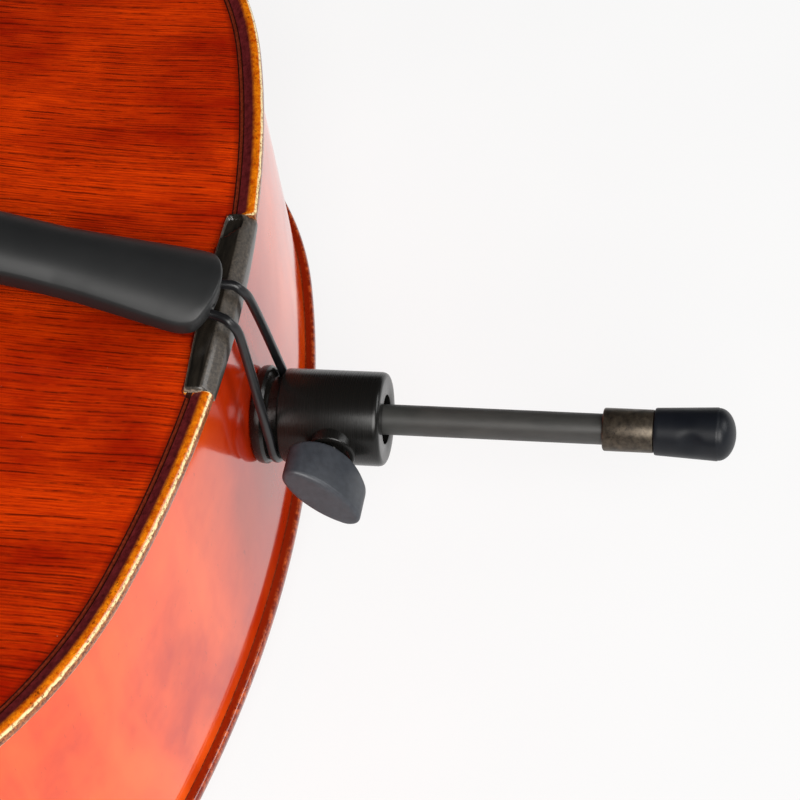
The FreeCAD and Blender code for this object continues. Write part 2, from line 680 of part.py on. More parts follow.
# ---------------------------------------------------------------- cords and strings
def rounded_path(points, radii):
    """Straight runs joined by tangent arcs."""
    edges, start = [], points[0]
    for before, corner, after, radius in zip(points, points[1:], points[2:], radii):
        a, b = (before - corner).normalize(), (after - corner).normalize()
        half = math.acos(max(-1.0, min(1.0, a.dot(b)))) / 2
        cut = radius / math.tan(half)
        p0, p1 = corner + a * cut, corner + b * cut
        bisector = (a + b).normalize()
        middle = corner + bisector * (radius / math.sin(half) - radius)
        edges.append(Part.LineSegment(start, p0).toShape())
        edges.append(Part.Arc(p0, middle, p1).toShape())
        start = p1
    edges.append(Part.LineSegment(start, points[-1]).toShape())
    return Part.Wire(edges)


def tube(path, radius):
    first = path.Edges[0]
    start = first.valueAt(first.FirstParameter)
    direction = first.tangentAt(first.FirstParameter)
    ring = Part.Wire(Part.makeCircle(radius, start, direction))
    return path.makePipeShell([ring], True, False)


def string_x(name, spacing):
    return (STRING_NAMES.index(name) - 1.5) * spacing


def string(name):
    """One string, from its tuner's fork over bridge and nut to its turns on the peg."""
    radius = STRING_DIAMETER[name] / 2
    xb, xn = string_x(name, BRIDGE_SPACING), string_x(name, NUT_SPACING)
    fork = tail_point(string_x(name, TAILPIECE_SPACING), FORK_S + FORK_HALF - 0.6, FORK_N)
    over_bridge = V(xb, BRIDGE_Y - 1.2, string_top(xb, BRIDGE_TOP_Z) + radius + 0.35)
    over_nut = neck_point(xn, 2.0, BOARD_DROP + 1.6 - xn * xn / (2 * CROWN_RADIUS) + radius + 0.25)
    turn_z = WINDING_START[name]
    frame = peg_frame(name)
    turn_radius = peg_radius(turn_z) + SHAFT_CLEARANCE
    centre = frame.multVec(V(0, 0, turn_z))
    top = neck_point(0, 0, 1) - neck_point(0, 0, 0)
    landing = centre + top * (turn_radius + radius)
    path = rounded_path([fork, over_bridge, over_nut, landing], [4.0, 4.0])
    wire = tube(path, radius)
    return wire.fuse(winding(name, turn_z, radius)).removeSplitter()


def winding(name, turn_z, radius):
    """Close turns of a string on its peg, free to let the peg turn inside."""
    turns, pitch = 5, 2 * radius
    z0 = turn_z - pitch / 2
    inner = [V(peg_radius(z0 + pitch * i) + SHAFT_CLEARANCE, 0, z0 + pitch * i) for i in range(turns + 1)]
    edges = [Part.LineSegment(inner[-1], inner[0]).toShape()]
    reach = 2 * radius
    edges.append(Part.LineSegment(inner[0], inner[0] + V(reach * 0.5, 0, 0)).toShape())
    for a, b in zip(inner, inner[1:]):
        a, b = a + V(reach * 0.5, 0, 0), b + V(reach * 0.5, 0, 0)
        edges.append(Part.Arc(a, (a + b) * 0.5 + V(reach * 0.5, 0, 0), b).toShape())
    edges.append(Part.LineSegment(inner[-1] + V(reach * 0.5, 0, 0), inner[-1]).toShape())
    solid = Part.Face(Part.Wire(Part.__sortEdges__(edges))).revolve(V(0, 0, 0), Z_AXIS, 360)
    return placed(solid, peg_frame(name))


# ---------------------------------------------------------------- tailpiece
TAIL_LOW = V(TAILPIECE_SHIFT, TAILPIECE_END_Y, TAILPIECE_END_Z)
TAIL_RISE = math.degrees(math.atan2(BRIDGE_TOP_Z - 14.0 - TAILPIECE_END_Z, BRIDGE_Y - TAILPIECE_END_Y))
TAIL_SWING = math.degrees(math.atan2(TAILPIECE_SHIFT, TAILPIECE_LENGTH))
TAIL_PLACE = FreeCAD.Placement(TAIL_LOW, FreeCAD.Rotation(Z_AXIS, TAIL_SWING).multiply(
    FreeCAD.Rotation(X_AXIS, TAIL_RISE)))
FORK_S = 8.0
FORK_N = 13.0
PIVOT_S, PIVOT_N = 8.0, -3.0
SCREW_S = 40.0
BALL_RADIUS = 2.4
BALL_LENGTH = 4.0
FORK_HALF = 1.6
TAIL_TOP = (14.0, -7.0)
TAIL_END = (44.0, -7.0)
KNOB_LIFT = 4.2
TIP_GAP = 0.3
TAIL_OUTLINE = [(0.0, 14.0), (5.0, 15.2), (13.0, 14.7), (28.0, 13.2), (45.0, 12.0), (70.0, 12.3),
                (120.0, 16.5),
                (180.0, 24.0), (236.0, 30.0)]
TAIL_SECTIONS = [(-10.0, 17.0, 8.0), (13.0, 15.7, 8.0), (45.0, 13.2, 8.2), (75.0, 13.6, 8.8),
                 (120.0, 17.6, 9.4),
                 (180.0, 25.0, 9.5), (250.0, 33.0, 9.0)]


def tail_point(x, s, n):
    """A point of the tailpiece: s counts from its wide end."""
    return TAIL_PLACE.multVec(V(x, TAILPIECE_LENGTH - s, n))


def tailpiece():
    """Moulded shell with an arched top, four tuner slots and two holes for the tailgut."""
    right = [V(w, t, 0) for t, w in TAIL_OUTLINE]
    left = [V(-p.x, p.y, 0) for p in right]
    edges = []
    for points in (right, left):
        curve = Part.BSplineCurve()
        curve.interpolate(points)
        edges.append(curve.toShape())
    edges.append(Part.Arc(left[0], V(0, -4.5, 0), right[0]).toShape())
    edges.append(Part.Arc(left[-1], V(0, TAILPIECE_LENGTH + 2.5, 0), right[-1]).toShape())
    plan = Part.Face(Part.Wire(Part.__sortEdges__(edges))).extrude(V(0, 0, 40))
    plan.translate(V(0, 0, -12))
    sections = []
    for t, half, rise in TAIL_SECTIONS:
        arc = Part.Arc(V(half, t, 0.5), V(0, t, rise), V(-half, t, 0.5)).toShape()
        low = Part.Arc(V(-half, t, -3.5), V(0, t, -0.5), V(half, t, -3.5)).toShape()
        sides = [Part.LineSegment(V(-half, t, 0.5), V(-half, t, -3.5)).toShape(),
                 Part.LineSegment(V(half, t, -3.5), V(half, t, 0.5)).toShape()]
        sections.append(Part.Wire([arc, sides[0], low, sides[1]]))
    body = Part.makeLoft(sections, True, False).common(plan)
    for name in STRING_NAMES:
        x = string_x(name, TAILPIECE_SPACING)
        length = TAILPIECE_LENGTH
        body = body.cut(box(x - 2.8, x + 2.8, length - 18.0, length + 6, -12, 30))
        body = body.cut(box(x - 2.8, x + 2.8, length - 50.0, length - 15, -12, 2.0))
        body = body.cut(Part.makeCylinder(SCREW_RADIUS + SHAFT_CLEARANCE, 40, V(x, length - SCREW_S, -10)))
    for x in (-TAILGUT_SPREAD, TAILGUT_SPREAD):
        body = body.cut(Part.makeCylinder(TAILGUT_RADIUS + 0.05, 60, V(x, -20, TAILGUT_N), Y_AXIS))
    body = body.fuse(pivot_blocks())
    for name in STRING_NAMES:
        x = string_x(name, TAILPIECE_SPACING)
        body = body.cut(Part.makeCylinder(1.0, 9.4, V(x - 4.7, TAILPIECE_LENGTH - PIVOT_S, PIVOT_N),
                                          X_AXIS))
    return placed(body.removeSplitter(), TAIL_PLACE)


def pivot_blocks():
    """Lugs under the wide end that carry the lever pins."""
    length, blocks = TAILPIECE_LENGTH, None
    for i in range(5):
        x = (i - 2) * TAILPIECE_SPACING
        lug = box(x - 3.6, x + 3.6, length - PIVOT_S - 2.6, length - PIVOT_S + 2.6, PIVOT_N - 2.2, 2.0)
        blocks = lug if blocks is None else blocks.fuse(lug)
    return blocks


def tuner_lever(name):
    """Lever with a forked head above the tailpiece and a tail under its screw."""
    x, length = string_x(name, TAILPIECE_SPACING), TAILPIECE_LENGTH
    half = LEVER_THICK / 2
    profile = [(FORK_S - FORK_HALF, PIVOT_N), (FORK_S - FORK_HALF, FORK_N + 3.2),
               (FORK_S + FORK_HALF, FORK_N + 3.2), (FORK_S + FORK_HALF, 4.0),
               (PIVOT_S + 5.0, TAIL_TOP[1] + 2.5),
               TAIL_TOP, TAIL_END, (TAIL_END[0], TAIL_END[1] - 2.2), (PIVOT_S + 4.0, TAIL_TOP[1] - 3.0),
               (PIVOT_S, PIVOT_N - 3.4), (PIVOT_S - 2.8, PIVOT_N - 2.0)]
    points = [V(x - half, length - s, n) for s, n in profile]
    plate_solid = Part.Face(Part.makePolygon(points + points[:1])).extrude(V(2 * half, 0, 0))
    slot = box(x - 1.15, x + 1.15, length - FORK_S - 3, length - FORK_S + 4, FORK_N - 1.2, FORK_N + 10)
    hole = Part.makeCylinder(1.0 + SHAFT_CLEARANCE, 20, V(x - 10, length - PIVOT_S, PIVOT_N), X_AXIS)
    return placed(plate_solid.cut(slot).cut(hole), TAIL_PLACE)


def string_ball(name):
    """Brass ball of a string, hooked behind the tuner's fork."""
    x, length = string_x(name, TAILPIECE_SPACING), TAILPIECE_LENGTH
    y = length - FORK_S - FORK_HALF - BALL_RADIUS
    ball = Part.makeCylinder(BALL_RADIUS, BALL_LENGTH, V(x - BALL_LENGTH / 2, y, FORK_N), X_AXIS)
    bore = Part.makeCylinder(STRING_DIAMETER[name] / 2 + 0.25, 6.0, V(x, y - 0.4, FORK_N), Y_AXIS)
    return placed(ball.cut(bore), TAIL_PLACE)


def tuner_pins():
    pins = []
    for name in STRING_NAMES:
        x = string_x(name, TAILPIECE_SPACING)
        pin = Part.makeCylinder(1.0, 9.4, V(x - 4.7, TAILPIECE_LENGTH - PIVOT_S, PIVOT_N), X_AXIS)
        pins.append(placed(pin, TAIL_PLACE))
    return Part.Compound(pins)


def deck_height(x):
    return 9.0 * (1 - (x / 31.0) ** 2)


def tuner_screw(name):
    x, y = string_x(name, TAILPIECE_SPACING), TAILPIECE_LENGTH - SCREW_S
    top = deck_height(x) + KNOB_LIFT + 4.0
    tip = TAIL_TOP[1] + TIP_GAP
    shank = Part.makeCylinder(SCREW_RADIUS, top - tip, V(x, y, tip))
    return placed(shank, TAIL_PLACE)


def tuner_knob(name):
    """Scalloped thumb wheel on top of its screw."""
    x, y = string_x(name, TAILPIECE_SPACING), TAILPIECE_LENGTH - SCREW_S
    base = deck_height(x) + KNOB_LIFT
    wheel = Part.makeCylinder(4.6, 5.5, V(0, 0, 0))
    wheel = wheel.makeChamfer(0.5, wheel.Edges)
    for i in range(12):
        angle = 2 * math.pi * i / 12
        groove = Part.makeCylinder(0.62, 7, V(4.75 * math.cos(angle), 4.75 * math.sin(angle), -0.5))
        wheel = wheel.cut(groove)
    bore = Part.makeCylinder(SCREW_RADIUS + SHAFT_CLEARANCE, 4.05, V(0, 0, 0))
    wheel = wheel.cut(bore)
    wheel.translate(V(x, y, base))
    return placed(wheel, TAIL_PLACE)


def tailgut():
    """One loop of thick cord: two legs over the saddle and a bight in the plug's groove."""
    z_top = SADDLE_HEIGHT + TAILGUT_RADIUS + 1.1
    groove_y = SOCKET_NEAR_Y + TAILGUT_RADIUS + 0.3
    r = PLUG_NECK_RADIUS + TAILGUT_RADIUS + 0.1
    solid = None
    for bend_x, side in zip(GUT_BENDS_X, (1, -1)):
        start = TAIL_PLACE.multVec(V(side * TAILGUT_SPREAD, 30.0, TAILGUT_N))
        mouth = TAIL_PLACE.multVec(V(side * TAILGUT_SPREAD, GUT_MOUTH, TAILGUT_N))
        bend = V(bend_x, -1.9, z_top)
        low = V(side * r, groove_y, ENDPIN_Z + 8.0)
        end = V(side * r, groove_y, ENDPIN_Z)
        leg = tube(rounded_path([start, mouth, bend, low, end], [10.0, 4.6, 12.0]), TAILGUT_RADIUS)
        solid = leg if solid is None else solid.fuse(leg)
    bow = Part.Arc(V(r, groove_y, ENDPIN_Z), V(0, groove_y, ENDPIN_Z - r),
                   V(-r, groove_y, ENDPIN_Z)).toShape()
    ring = Part.Wire(Part.makeCircle(TAILGUT_RADIUS, V(r, groove_y, ENDPIN_Z), Z_AXIS))
    return solid.fuse(Part.Wire([bow]).makePipeShell([ring], True, False)).removeSplitter()


# ---------------------------------------------------------------- endpin
def turned(profile):
    """A solid of revolution on the endpin's axis from (y, radius) points."""
    points = [V(0, profile[0][0], 0)] + [V(r, y, 0) for y, r in profile] + [V(0, profile[-1][0], 0)]
    clean = [p for i, p in enumerate(points) if i == 0 or (p - points[i - 1]).Length > 1e-6]
    if (clean[0] - clean[-1]).Length > 1e-6:
        clean.append(clean[0])
    solid = Part.Face(Part.makePolygon(clean)).revolve(V(0, 0, 0), Y_AXIS, 360)
    solid.translate(V(0, 0, ENDPIN_Z))
    return solid


def endpin_bore(radius, y0, y1):
    return Part.makeCylinder(radius, y1 - y0, V(0, y0, ENDPIN_Z), Y_AXIS)


def endpin_plug():
    """Ebony plug: tapered shaft in the lower block, ringed collar and a groove for the tailgut."""
    collar = [(OVERHANG + PLUG_SHAFT_LENGTH, PLUG_RADIUS_NARROW), (OVERHANG, PLUG_RADIUS_WIDE),
              (OVERHANG, 15.6),
              (OVERHANG - 1.2, 16.2), (OVERHANG - 3.0, 16.2), (OVERHANG - 4.2, 15.4),
              (OVERHANG - 4.9, PLUG_NECK_RADIUS),
              (SOCKET_NEAR_Y, PLUG_NECK_RADIUS)]
    return turned(collar).cut(endpin_bore(8.0, -20, 80))


def endpin_socket():
    """Metal socket: sleeve inside the plug, barrel outside it, guide bore and open mouth."""
    barrel = [(OVERHANG + PLUG_SHAFT_LENGTH - 2, 8.0), (SOCKET_NEAR_Y, 8.0),
              (SOCKET_NEAR_Y, SOCKET_RADIUS - 0.8),
              (SOCKET_NEAR_Y - 0.8, SOCKET_RADIUS), (SOCKET_FAR_Y + 1.6, SOCKET_RADIUS),
              (SOCKET_FAR_Y + 0.5, SOCKET_RADIUS - 0.35), (SOCKET_FAR_Y, SOCKET_RADIUS - 1.4)]
    solid = turned(barrel)
    solid = solid.cut(endpin_bore(ROD_RADIUS + SHAFT_CLEARANCE, -60, 80))
    solid = solid.cut(endpin_bore(MOUTH_RADIUS, SOCKET_FAR_Y - 1, SOCKET_FAR_Y + MOUTH_DEPTH))
    hole = placed(Part.makeCylinder(BUSH_RADIUS, 30, V(0, 0, 4)), THUMB_PLACE)
    return solid.cut(hole)


def thumb_placement():
    """Local Z runs out along the thumbscrew and local X along its wing."""
    tilt, turn = math.radians(THUMB_TILT), math.radians(THUMB_TURN)
    out = V(-math.cos(tilt), 0, math.sin(tilt))
    wing = V(0, -math.cos(turn), -math.sin(turn))
    return FreeCAD.Placement(V(0, THUMB_Y, ENDPIN_Z), FreeCAD.Rotation(wing, V(0, 0, 0), out, "ZXY"))


THUMB_PLACE = thumb_placement()


def screw_bush():
    """Threaded boss pressed into the side of the barrel."""
    low = 6.4
    boss = Part.makeCylinder(BUSH_RADIUS, BUSH_REACH - low, V(0, 0, low))
    boss = boss.makeChamfer(0.6, [boss.Edges[0]])
    boss = boss.cut(Part.makeCylinder(STUD_RADIUS + SHAFT_CLEARANCE, 30, V(0, 0, 0)))
    boss = placed(boss, THUMB_PLACE)
    return boss.cut(endpin_bore(low, -60, 20))


def clamp_pad():
    """Brass pad at the screw's tip that bears on the rod."""
    pad = Part.makeCylinder(3.2, PAD_REACH + 1.0, V(0, 0, ROD_RADIUS - 1.0))
    pad = placed(pad, THUMB_PLACE)
    return pad.cut(endpin_bore(ROD_RADIUS + SHAFT_CLEARANCE, -60, 20))


def thumbscrew_stud():
    z0 = ROD_RADIUS + PAD_REACH
    stud = Part.makeCylinder(STUD_RADIUS, WING_BASE + 6.0 - z0, V(0, 0, z0))
    return placed(stud, THUMB_PLACE)


def thumbscrew_knob():
    """Wing knob: lens-shaped across, flat outside, with a rounded base towards the screw."""
    half, thick, tip = WING_HALF, WING_HALF_THICK, WING_END_THICK
    corners = [V(-half, -tip, 0), V(half, -tip, 0), V(half, tip, 0), V(-half, tip, 0)]
    faces = [Part.Arc(corners[0], V(0, -thick, 0), corners[1]).toShape(),
             Part.LineSegment(corners[1], corners[2]).toShape(),
             Part.Arc(corners[2], V(0, thick, 0), corners[3]).toShape(),
             Part.LineSegment(corners[3], corners[0]).toShape()]
    lens = Part.Face(Part.Wire(faces)).extrude(V(0, 0, WING_TOP))
    base = Part.Arc(V(-half, 0, WING_BASE_ARC), V(0, 0, WING_BASE), V(half, 0, WING_BASE_ARC)).toShape()
    rim = [Part.LineSegment(V(half, 0, WING_BASE_ARC), V(half, 0, WING_TOP)).toShape(),
           Part.LineSegment(V(half, 0, WING_TOP), V(-half, 0, WING_TOP)).toShape(),
           Part.LineSegment(V(-half, 0, WING_TOP), V(-half, 0, WING_BASE_ARC)).toShape()]
    front = Part.Face(Part.Wire([base] + rim)).extrude(V(0, 40, 0))
    front.translate(V(0, -20, 0))
    knob = lens.common(front)
    knob = knob.makeFillet(1.1, knob.Edges)
    knob = knob.cut(Part.makeCylinder(STUD_RADIUS, 6.0 + WING_BASE, V(0, 0, 0)))
    return placed(knob, THUMB_PLACE)


def endpin_rod():
    """Long rod whose outer end is turned down and ground to a spike."""
    far = FERRULE_Y[1]
    profile = [(far + ROD_LENGTH, ROD_RADIUS), (far, ROD_RADIUS), (far, SPIKE_RADIUS),
               (far - SPIKE_SHOULDER, SPIKE_RADIUS), (far - SPIKE_LENGTH, 0.4)]
    return turned(profile)


def endpin_stop():
    """Collar at the rod's inner end that keeps it from coming out."""
    y_end = FERRULE_Y[1] + ROD_LENGTH
    return endpin_bore(7.2, y_end, y_end + 6.0)


def endpin_ferrule():
    near, far = FERRULE_Y
    tube_solid = turned([(near, FERRULE_RADIUS - 0.3), (near - 0.3, FERRULE_RADIUS),
                         (far + 0.2, FERRULE_RADIUS),
                         (far, FERRULE_RADIUS - 0.2)])
    return tube_solid.cut(endpin_bore(ROD_RADIUS, far - 1, near + 1))


def rubber_tip():
    """Rubber foot: widens to a domed end, hollow for the spike."""
    near, edge = FERRULE_Y[1] - 0.1, RUBBER_END_Y + RUBBER_DOME
    end, far_radius = RUBBER_END_Y, RUBBER_RADIUS_FAR
    profile = [(near, RUBBER_RADIUS_NEAR - 0.4), (near - 0.6, RUBBER_RADIUS_NEAR), (edge, far_radius)]
    steps = 10
    for i in range(1, steps):
        angle = math.pi / 2 * i / steps
        profile.append((edge - RUBBER_DOME * math.sin(angle), far_radius * math.cos(angle)))
    profile.append((end, 0.6))
    clear, far = SHAFT_CLEARANCE, FERRULE_Y[1]
    room = turned([(far + 1, SPIKE_RADIUS + clear), (far - SPIKE_SHOULDER - clear, SPIKE_RADIUS + clear),
                   (far - SPIKE_LENGTH - 0.2, 0.6)])
    return turned(profile).cut(room)


# ---------------------------------------------------------------- assembly
def build():
    nodes = {}
    belly_top = arch_surface(BELLY_RISE, CHANNEL_MARGIN, EDGE_THICK, 1)
    belly, belly_hollow = plate(BELLY_RISE, 1, 0.0)
    back, back_hollow = plate(BACK_RISE, -1, -RIB_HEIGHT)
    foot = heel()
    slot = saddle_slot()
    belly_line = purfling(EDGE_THICK, -PURFLING_DEPTH)
    back_line = purfling(-RIB_HEIGHT - EDGE_THICK, PURFLING_DEPTH)
    for side in (-1, 1):
        belly = belly.cut(f_hole_cutter(side))
    nodes["belly"] = belly.cut(slot).cut(foot).cut(belly_line)
    nodes["back"] = back.cut(back_line)
    nodes["belly_purfling"] = belly_line.cut(slot).cut(foot)
    nodes["back_purfling"] = back_line
    pin_hole = turned([(OVERHANG + PLUG_SHAFT_LENGTH, PLUG_RADIUS_NARROW), (OVERHANG, PLUG_RADIUS_WIDE),
                       (-5.0, PLUG_RADIUS_WIDE)])
    for name, rib in rib_pieces().items():
        nodes[name] = rib.cut(foot).cut(pin_hole)
    lower_block = inside_block(-48, 48, 0, 40).cut(pin_hole)
    upper_block = inside_block(-46, 46, BODY_LENGTH - 42, BODY_LENGTH + 10).cut(foot)
    corners = corner_blocks()
    nodes["lower_block"] = lower_block
    nodes["upper_block"] = upper_block
    nodes["corner_blocks"] = Part.Compound(corners)
    solid_blocks = [inside_block(-48, 48, 0, 40), inside_block(-46, 46, BODY_LENGTH - 42, BODY_LENGTH + 10)]
    nodes["belly_linings"] = linings(-LINING_HEIGHT, 0, solid_blocks + corners)
    nodes["back_linings"] = linings(-RIB_HEIGHT, -RIB_HEIGHT + LINING_HEIGHT, solid_blocks + corners)
    nodes["bass_bar"] = bass_bar(belly_hollow)
    nodes["sound_post"] = sound_post(belly_hollow, back_hollow)
    nodes["bridge"] = bridge(belly_top)
    nodes["saddle"] = saddle()
    nodes["neck_and_scroll"] = neck_and_scroll()
    nodes["fingerboard"] = fingerboard()
    nodes["nut"] = nut()
    for name in STRING_NAMES:
        nodes["nut"] = nodes["nut"].cut(string(name))
        nodes[f"peg_{name}"] = peg(name)
        nodes[f"string_{name}"] = string(name)
        nodes[f"string_ball_{name}"] = string_ball(name)
        nodes[f"tuner_lever_{name}"] = tuner_lever(name)
        nodes[f"tuner_screw_{name}"] = tuner_screw(name)
        nodes[f"tuner_knob_{name}"] = tuner_knob(name)
    nodes["tuner_pins"] = tuner_pins()
    nodes["tailpiece"] = tailpiece()
    nodes["tailgut"] = tailgut()
    nodes["endpin_plug"] = endpin_plug()
    nodes["endpin_socket"] = endpin_socket()
    nodes["screw_bush"] = screw_bush()
    nodes["clamp_pad"] = clamp_pad()
    nodes["thumbscrew_stud"] = thumbscrew_stud()
    nodes["thumbscrew_knob"] = thumbscrew_knob()
    nodes["endpin_rod"] = endpin_rod()
    nodes["endpin_stop"] = endpin_stop()
    nodes["endpin_ferrule"] = endpin_ferrule()
    nodes["rubber_tip"] = rubber_tip()
    return nodes


def row_shift(shapes):
    """Move that puts the lowest point at z = 0 and the middle of the box on the origin."""
    points = [p for shape in shapes for p in shape.tessellate(0.3)[0]]
    middle = [(min(p[i] for p in points) + max(p[i] for p in points)) / 2 for i in (0, 1)]
    return V(-middle[0], -middle[1], -min(p.z for p in points))


if __name__ == "__main__":
    os.makedirs("parts", exist_ok=True)
    pieces = build()
    shift = row_shift(pieces.values())
    for node, shape in pieces.items():
        shape.translate(shift)
        shape.exportStep(f"parts/{node}.step")
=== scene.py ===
"""Full-size cello lying on its back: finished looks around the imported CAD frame.

Body measurements are millimetres in the instrument's own frame: x across (treble side positive), y along
the body from its bottom edge towards the scroll, z up out of the belly with 0 at the ribs.
"""

import bpy
import bmesh
import math
import numpy as np
from mathutils import Matrix, Vector
from mathutils.geometry import delaunay_2d_cdt


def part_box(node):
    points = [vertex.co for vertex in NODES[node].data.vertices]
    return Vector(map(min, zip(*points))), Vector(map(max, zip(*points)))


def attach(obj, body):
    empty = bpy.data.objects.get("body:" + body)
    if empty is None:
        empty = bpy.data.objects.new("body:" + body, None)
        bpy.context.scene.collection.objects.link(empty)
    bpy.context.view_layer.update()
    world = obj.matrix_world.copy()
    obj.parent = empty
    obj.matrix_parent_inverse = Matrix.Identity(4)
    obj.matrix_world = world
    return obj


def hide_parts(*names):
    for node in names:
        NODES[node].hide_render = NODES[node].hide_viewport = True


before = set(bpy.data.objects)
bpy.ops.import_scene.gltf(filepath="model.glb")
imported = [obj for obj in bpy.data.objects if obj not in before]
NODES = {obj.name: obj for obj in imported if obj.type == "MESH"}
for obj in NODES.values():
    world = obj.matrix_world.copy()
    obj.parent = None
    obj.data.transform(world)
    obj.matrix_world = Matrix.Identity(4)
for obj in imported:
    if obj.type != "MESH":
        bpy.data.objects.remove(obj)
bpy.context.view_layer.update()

MM = 0.001
Y0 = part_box("back")[0][1]
Z0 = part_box("belly")[0][2]

# ---- measurements shared with the CAD ----
BODY_LENGTH = 757.0
RIB_HEIGHT = 115.0
OVERHANG = 3.5
RIB_THICK = 1.5
ENDPIN_Z = -55.0
LOWER_CORNER_Y = 289.0
UPPER_CORNER_Y = 501.5
# a bout starts at a point with a heading, then turns by runs of (radius, degrees), left turns positive
END_RADIUS = 442.0
LOWER_BOUT = {"start": (0.0, 0.0), "heading": 0.0,
              "runs": [(END_RADIUS, 14.15), (150.0, 113.85), (30.0, -68.0)]}
C_BOUT = {"start": (183.0, 293.0), "heading": 187.0,
          "runs": [(42.0, -59.0), (148.0, -38.0), (165.0, -28.0), (38.0, -50.0)]}
UPPER_BOUT = {"start": (0.0, 0.0), "heading": 0.0, "runs": [(260.0, 20.37), (125.0, 99.63), (55.0, -60.0)]}
# half width of the arched middle at places along the body
ARCH_WIDTHS = [(190.0, 217.0), (230.0, 200.0), (270.0, 162.0), (310.0, 129.0), (350.0, 117.0),
               (400.0, 113.0), (450.0, 116.0), (490.0, 127.0), (530.0, 144.0), (570.0, 161.0),
               (605.0, 170.5)]
END_RISE_LENGTH = 235.0
F_HOLE_LINE = [(47.5, 417.0), (46.0, 425.0), (51.5, 431.5), (61.0, 429.0), (68.5, 415.0), (73.0, 392.0),
               (76.5, 357.0), (80.0, 322.0), (84.5, 301.0), (92.0, 290.0), (101.0, 289.5), (105.5, 297.0)]
F_EYES = [((52.5, 415.5), 6.5), ((98.5, 302.0), 8.6)]


# ------------------------------------------------------------------ meshes
def to_row(points):
    """Millimetre points in the instrument's frame as metres in the row frame."""
    p = np.asarray(points, float) * MM
    return p + np.array([0.0, Y0, Z0])


def finished(name, mesh, body, replaces, material, angle):
    """An object of the mesh that rides on a body and stands for CAD nodes."""
    mesh.shade_smooth()
    mesh.set_sharp_from_angle(angle=math.radians(angle))
    obj = bpy.data.objects.new(name, mesh)
    show(obj)
    mesh.materials.append(material)
    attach(obj, body)
    if replaces:
        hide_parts(*replaces)
    return obj


def piece(name, verts, faces, body, replaces, material, angle=40.0, values=None):
    """A piece from points and faces; values fill the attribute "inset", one for each point."""
    mesh = bpy.data.meshes.new(name)
    mesh.from_pydata([tuple(v) for v in to_row(verts)], [], [tuple(int(i) for i in f) for f in faces])
    if values is not None:
        mesh.attributes.new("inset", "FLOAT", "POINT").data.foreach_set("value", [float(v) for v in values])
    bm = bmesh.new()
    bm.from_mesh(mesh)
    bmesh.ops.remove_doubles(bm, verts=bm.verts, dist=1e-6)
    bmesh.ops.recalc_face_normals(bm, faces=bm.faces)
    bm.to_mesh(mesh)
    bm.free()
    return finished(name, mesh, body, replaces, material, angle)


def grid_faces(rows, columns, wrap_columns=False):
    """Quads over rows x columns points."""
    faces = []
    for i in range(rows - 1):
        for j in range(columns if wrap_columns else columns - 1):
            k = (j + 1) % columns
            faces.append((i * columns + j, i * columns + k, (i + 1) * columns + k, (i + 1) * columns + j))
    return faces


def tube_mesh(path, radius, sides=20):
    """Rings of a round cord along a smooth path, with closed ends."""
    path = np.asarray(path, float)
    tangent = np.gradient(path, axis=0)
    tangent /= np.linalg.norm(tangent, axis=1)[:, None]
    side = np.cross(tangent[0], (0.31, 0.52, 0.79))
    verts = []
    for p, t in zip(path, tangent):
        side = side - t * side.dot(t)
        side /= np.linalg.norm(side)
        up = np.cross(t, side)
        for a in np.linspace(0, 2 * math.pi, sides, endpoint=False):
            verts.append(p + radius * (math.cos(a) * side + math.sin(a) * up))
    faces = grid_faces(len(path), sides, True)
    faces.append(tuple(range(sides))[::-1])
    faces.append(tuple(range((len(path) - 1) * sides, len(path) * sides)))
    return verts, faces


def smooth_path(points, steps=14):
    """Catmull-Rom curve through the points."""
    p = np.asarray(points, float)
    p = np.vstack([2 * p[0] - p[1], p, 2 * p[-1] - p[-2]])
    out = []
    for a, b, c, d in zip(p, p[1:], p[2:], p[3:]):
        for t in np.linspace(0, 1, steps, endpoint=False):
            out.append(0.5 * (2 * b + (c - a) * t + (2 * a - 5 * b + 4 * c - d) * t ** 2
                              + (3 * b - a - 3 * c + d) * t ** 3))
    out.append(p[-2])
    return np.array(out)


def turned(name, profile, body, replaces, material, point, segments, angle):
    """A turned piece from (place along the axis, radius) points; point sets the axis."""
    turns = np.linspace(0, 2 * math.pi, segments, endpoint=False)
    verts = [point(r * math.cos(a), r * math.sin(a), along) for along, r in profile for a in turns]
    faces = grid_faces(len(profile), segments, True)
    faces += [tuple(range(segments)), tuple(range((len(profile) - 1) * segments, len(profile) * segments))]
    return piece(name, verts, faces, body, replaces, material, angle)


def show(obj):
    """Puts an object in the scene."""
    bpy.context.scene.collection.objects.link(obj)


def curve(x, places, levels):
    """Level at x on straight runs between the places."""
    return float(np.interp(x, places, levels))


# ------------------------------------------------------------------ outline and arching
def bout_points(bout, flip, step):
    """Points along a bout's arcs; flip measures them from the upper end of the body."""
    x, y = bout["start"]
    heading, points = bout["heading"], []
    for radius, turn in bout["runs"]:
        side = 1.0 if turn > 0 else -1.0
        h0 = math.radians(heading)
        cx, cy = x - side * radius * math.sin(h0), y + side * radius * math.cos(h0)
        count = max(4, int(abs(math.radians(turn)) * radius / step))
        for k in range(count + 1):
            h = h0 + math.radians(turn) * k / count
            points.append((cx + side * radius * math.sin(h), cy - side * radius * math.cos(h)))
        heading += turn
        x, y = points[-1]
    if flip:
        points = [(px, BODY_LENGTH - py) for px, py in points][::-1]
    return points


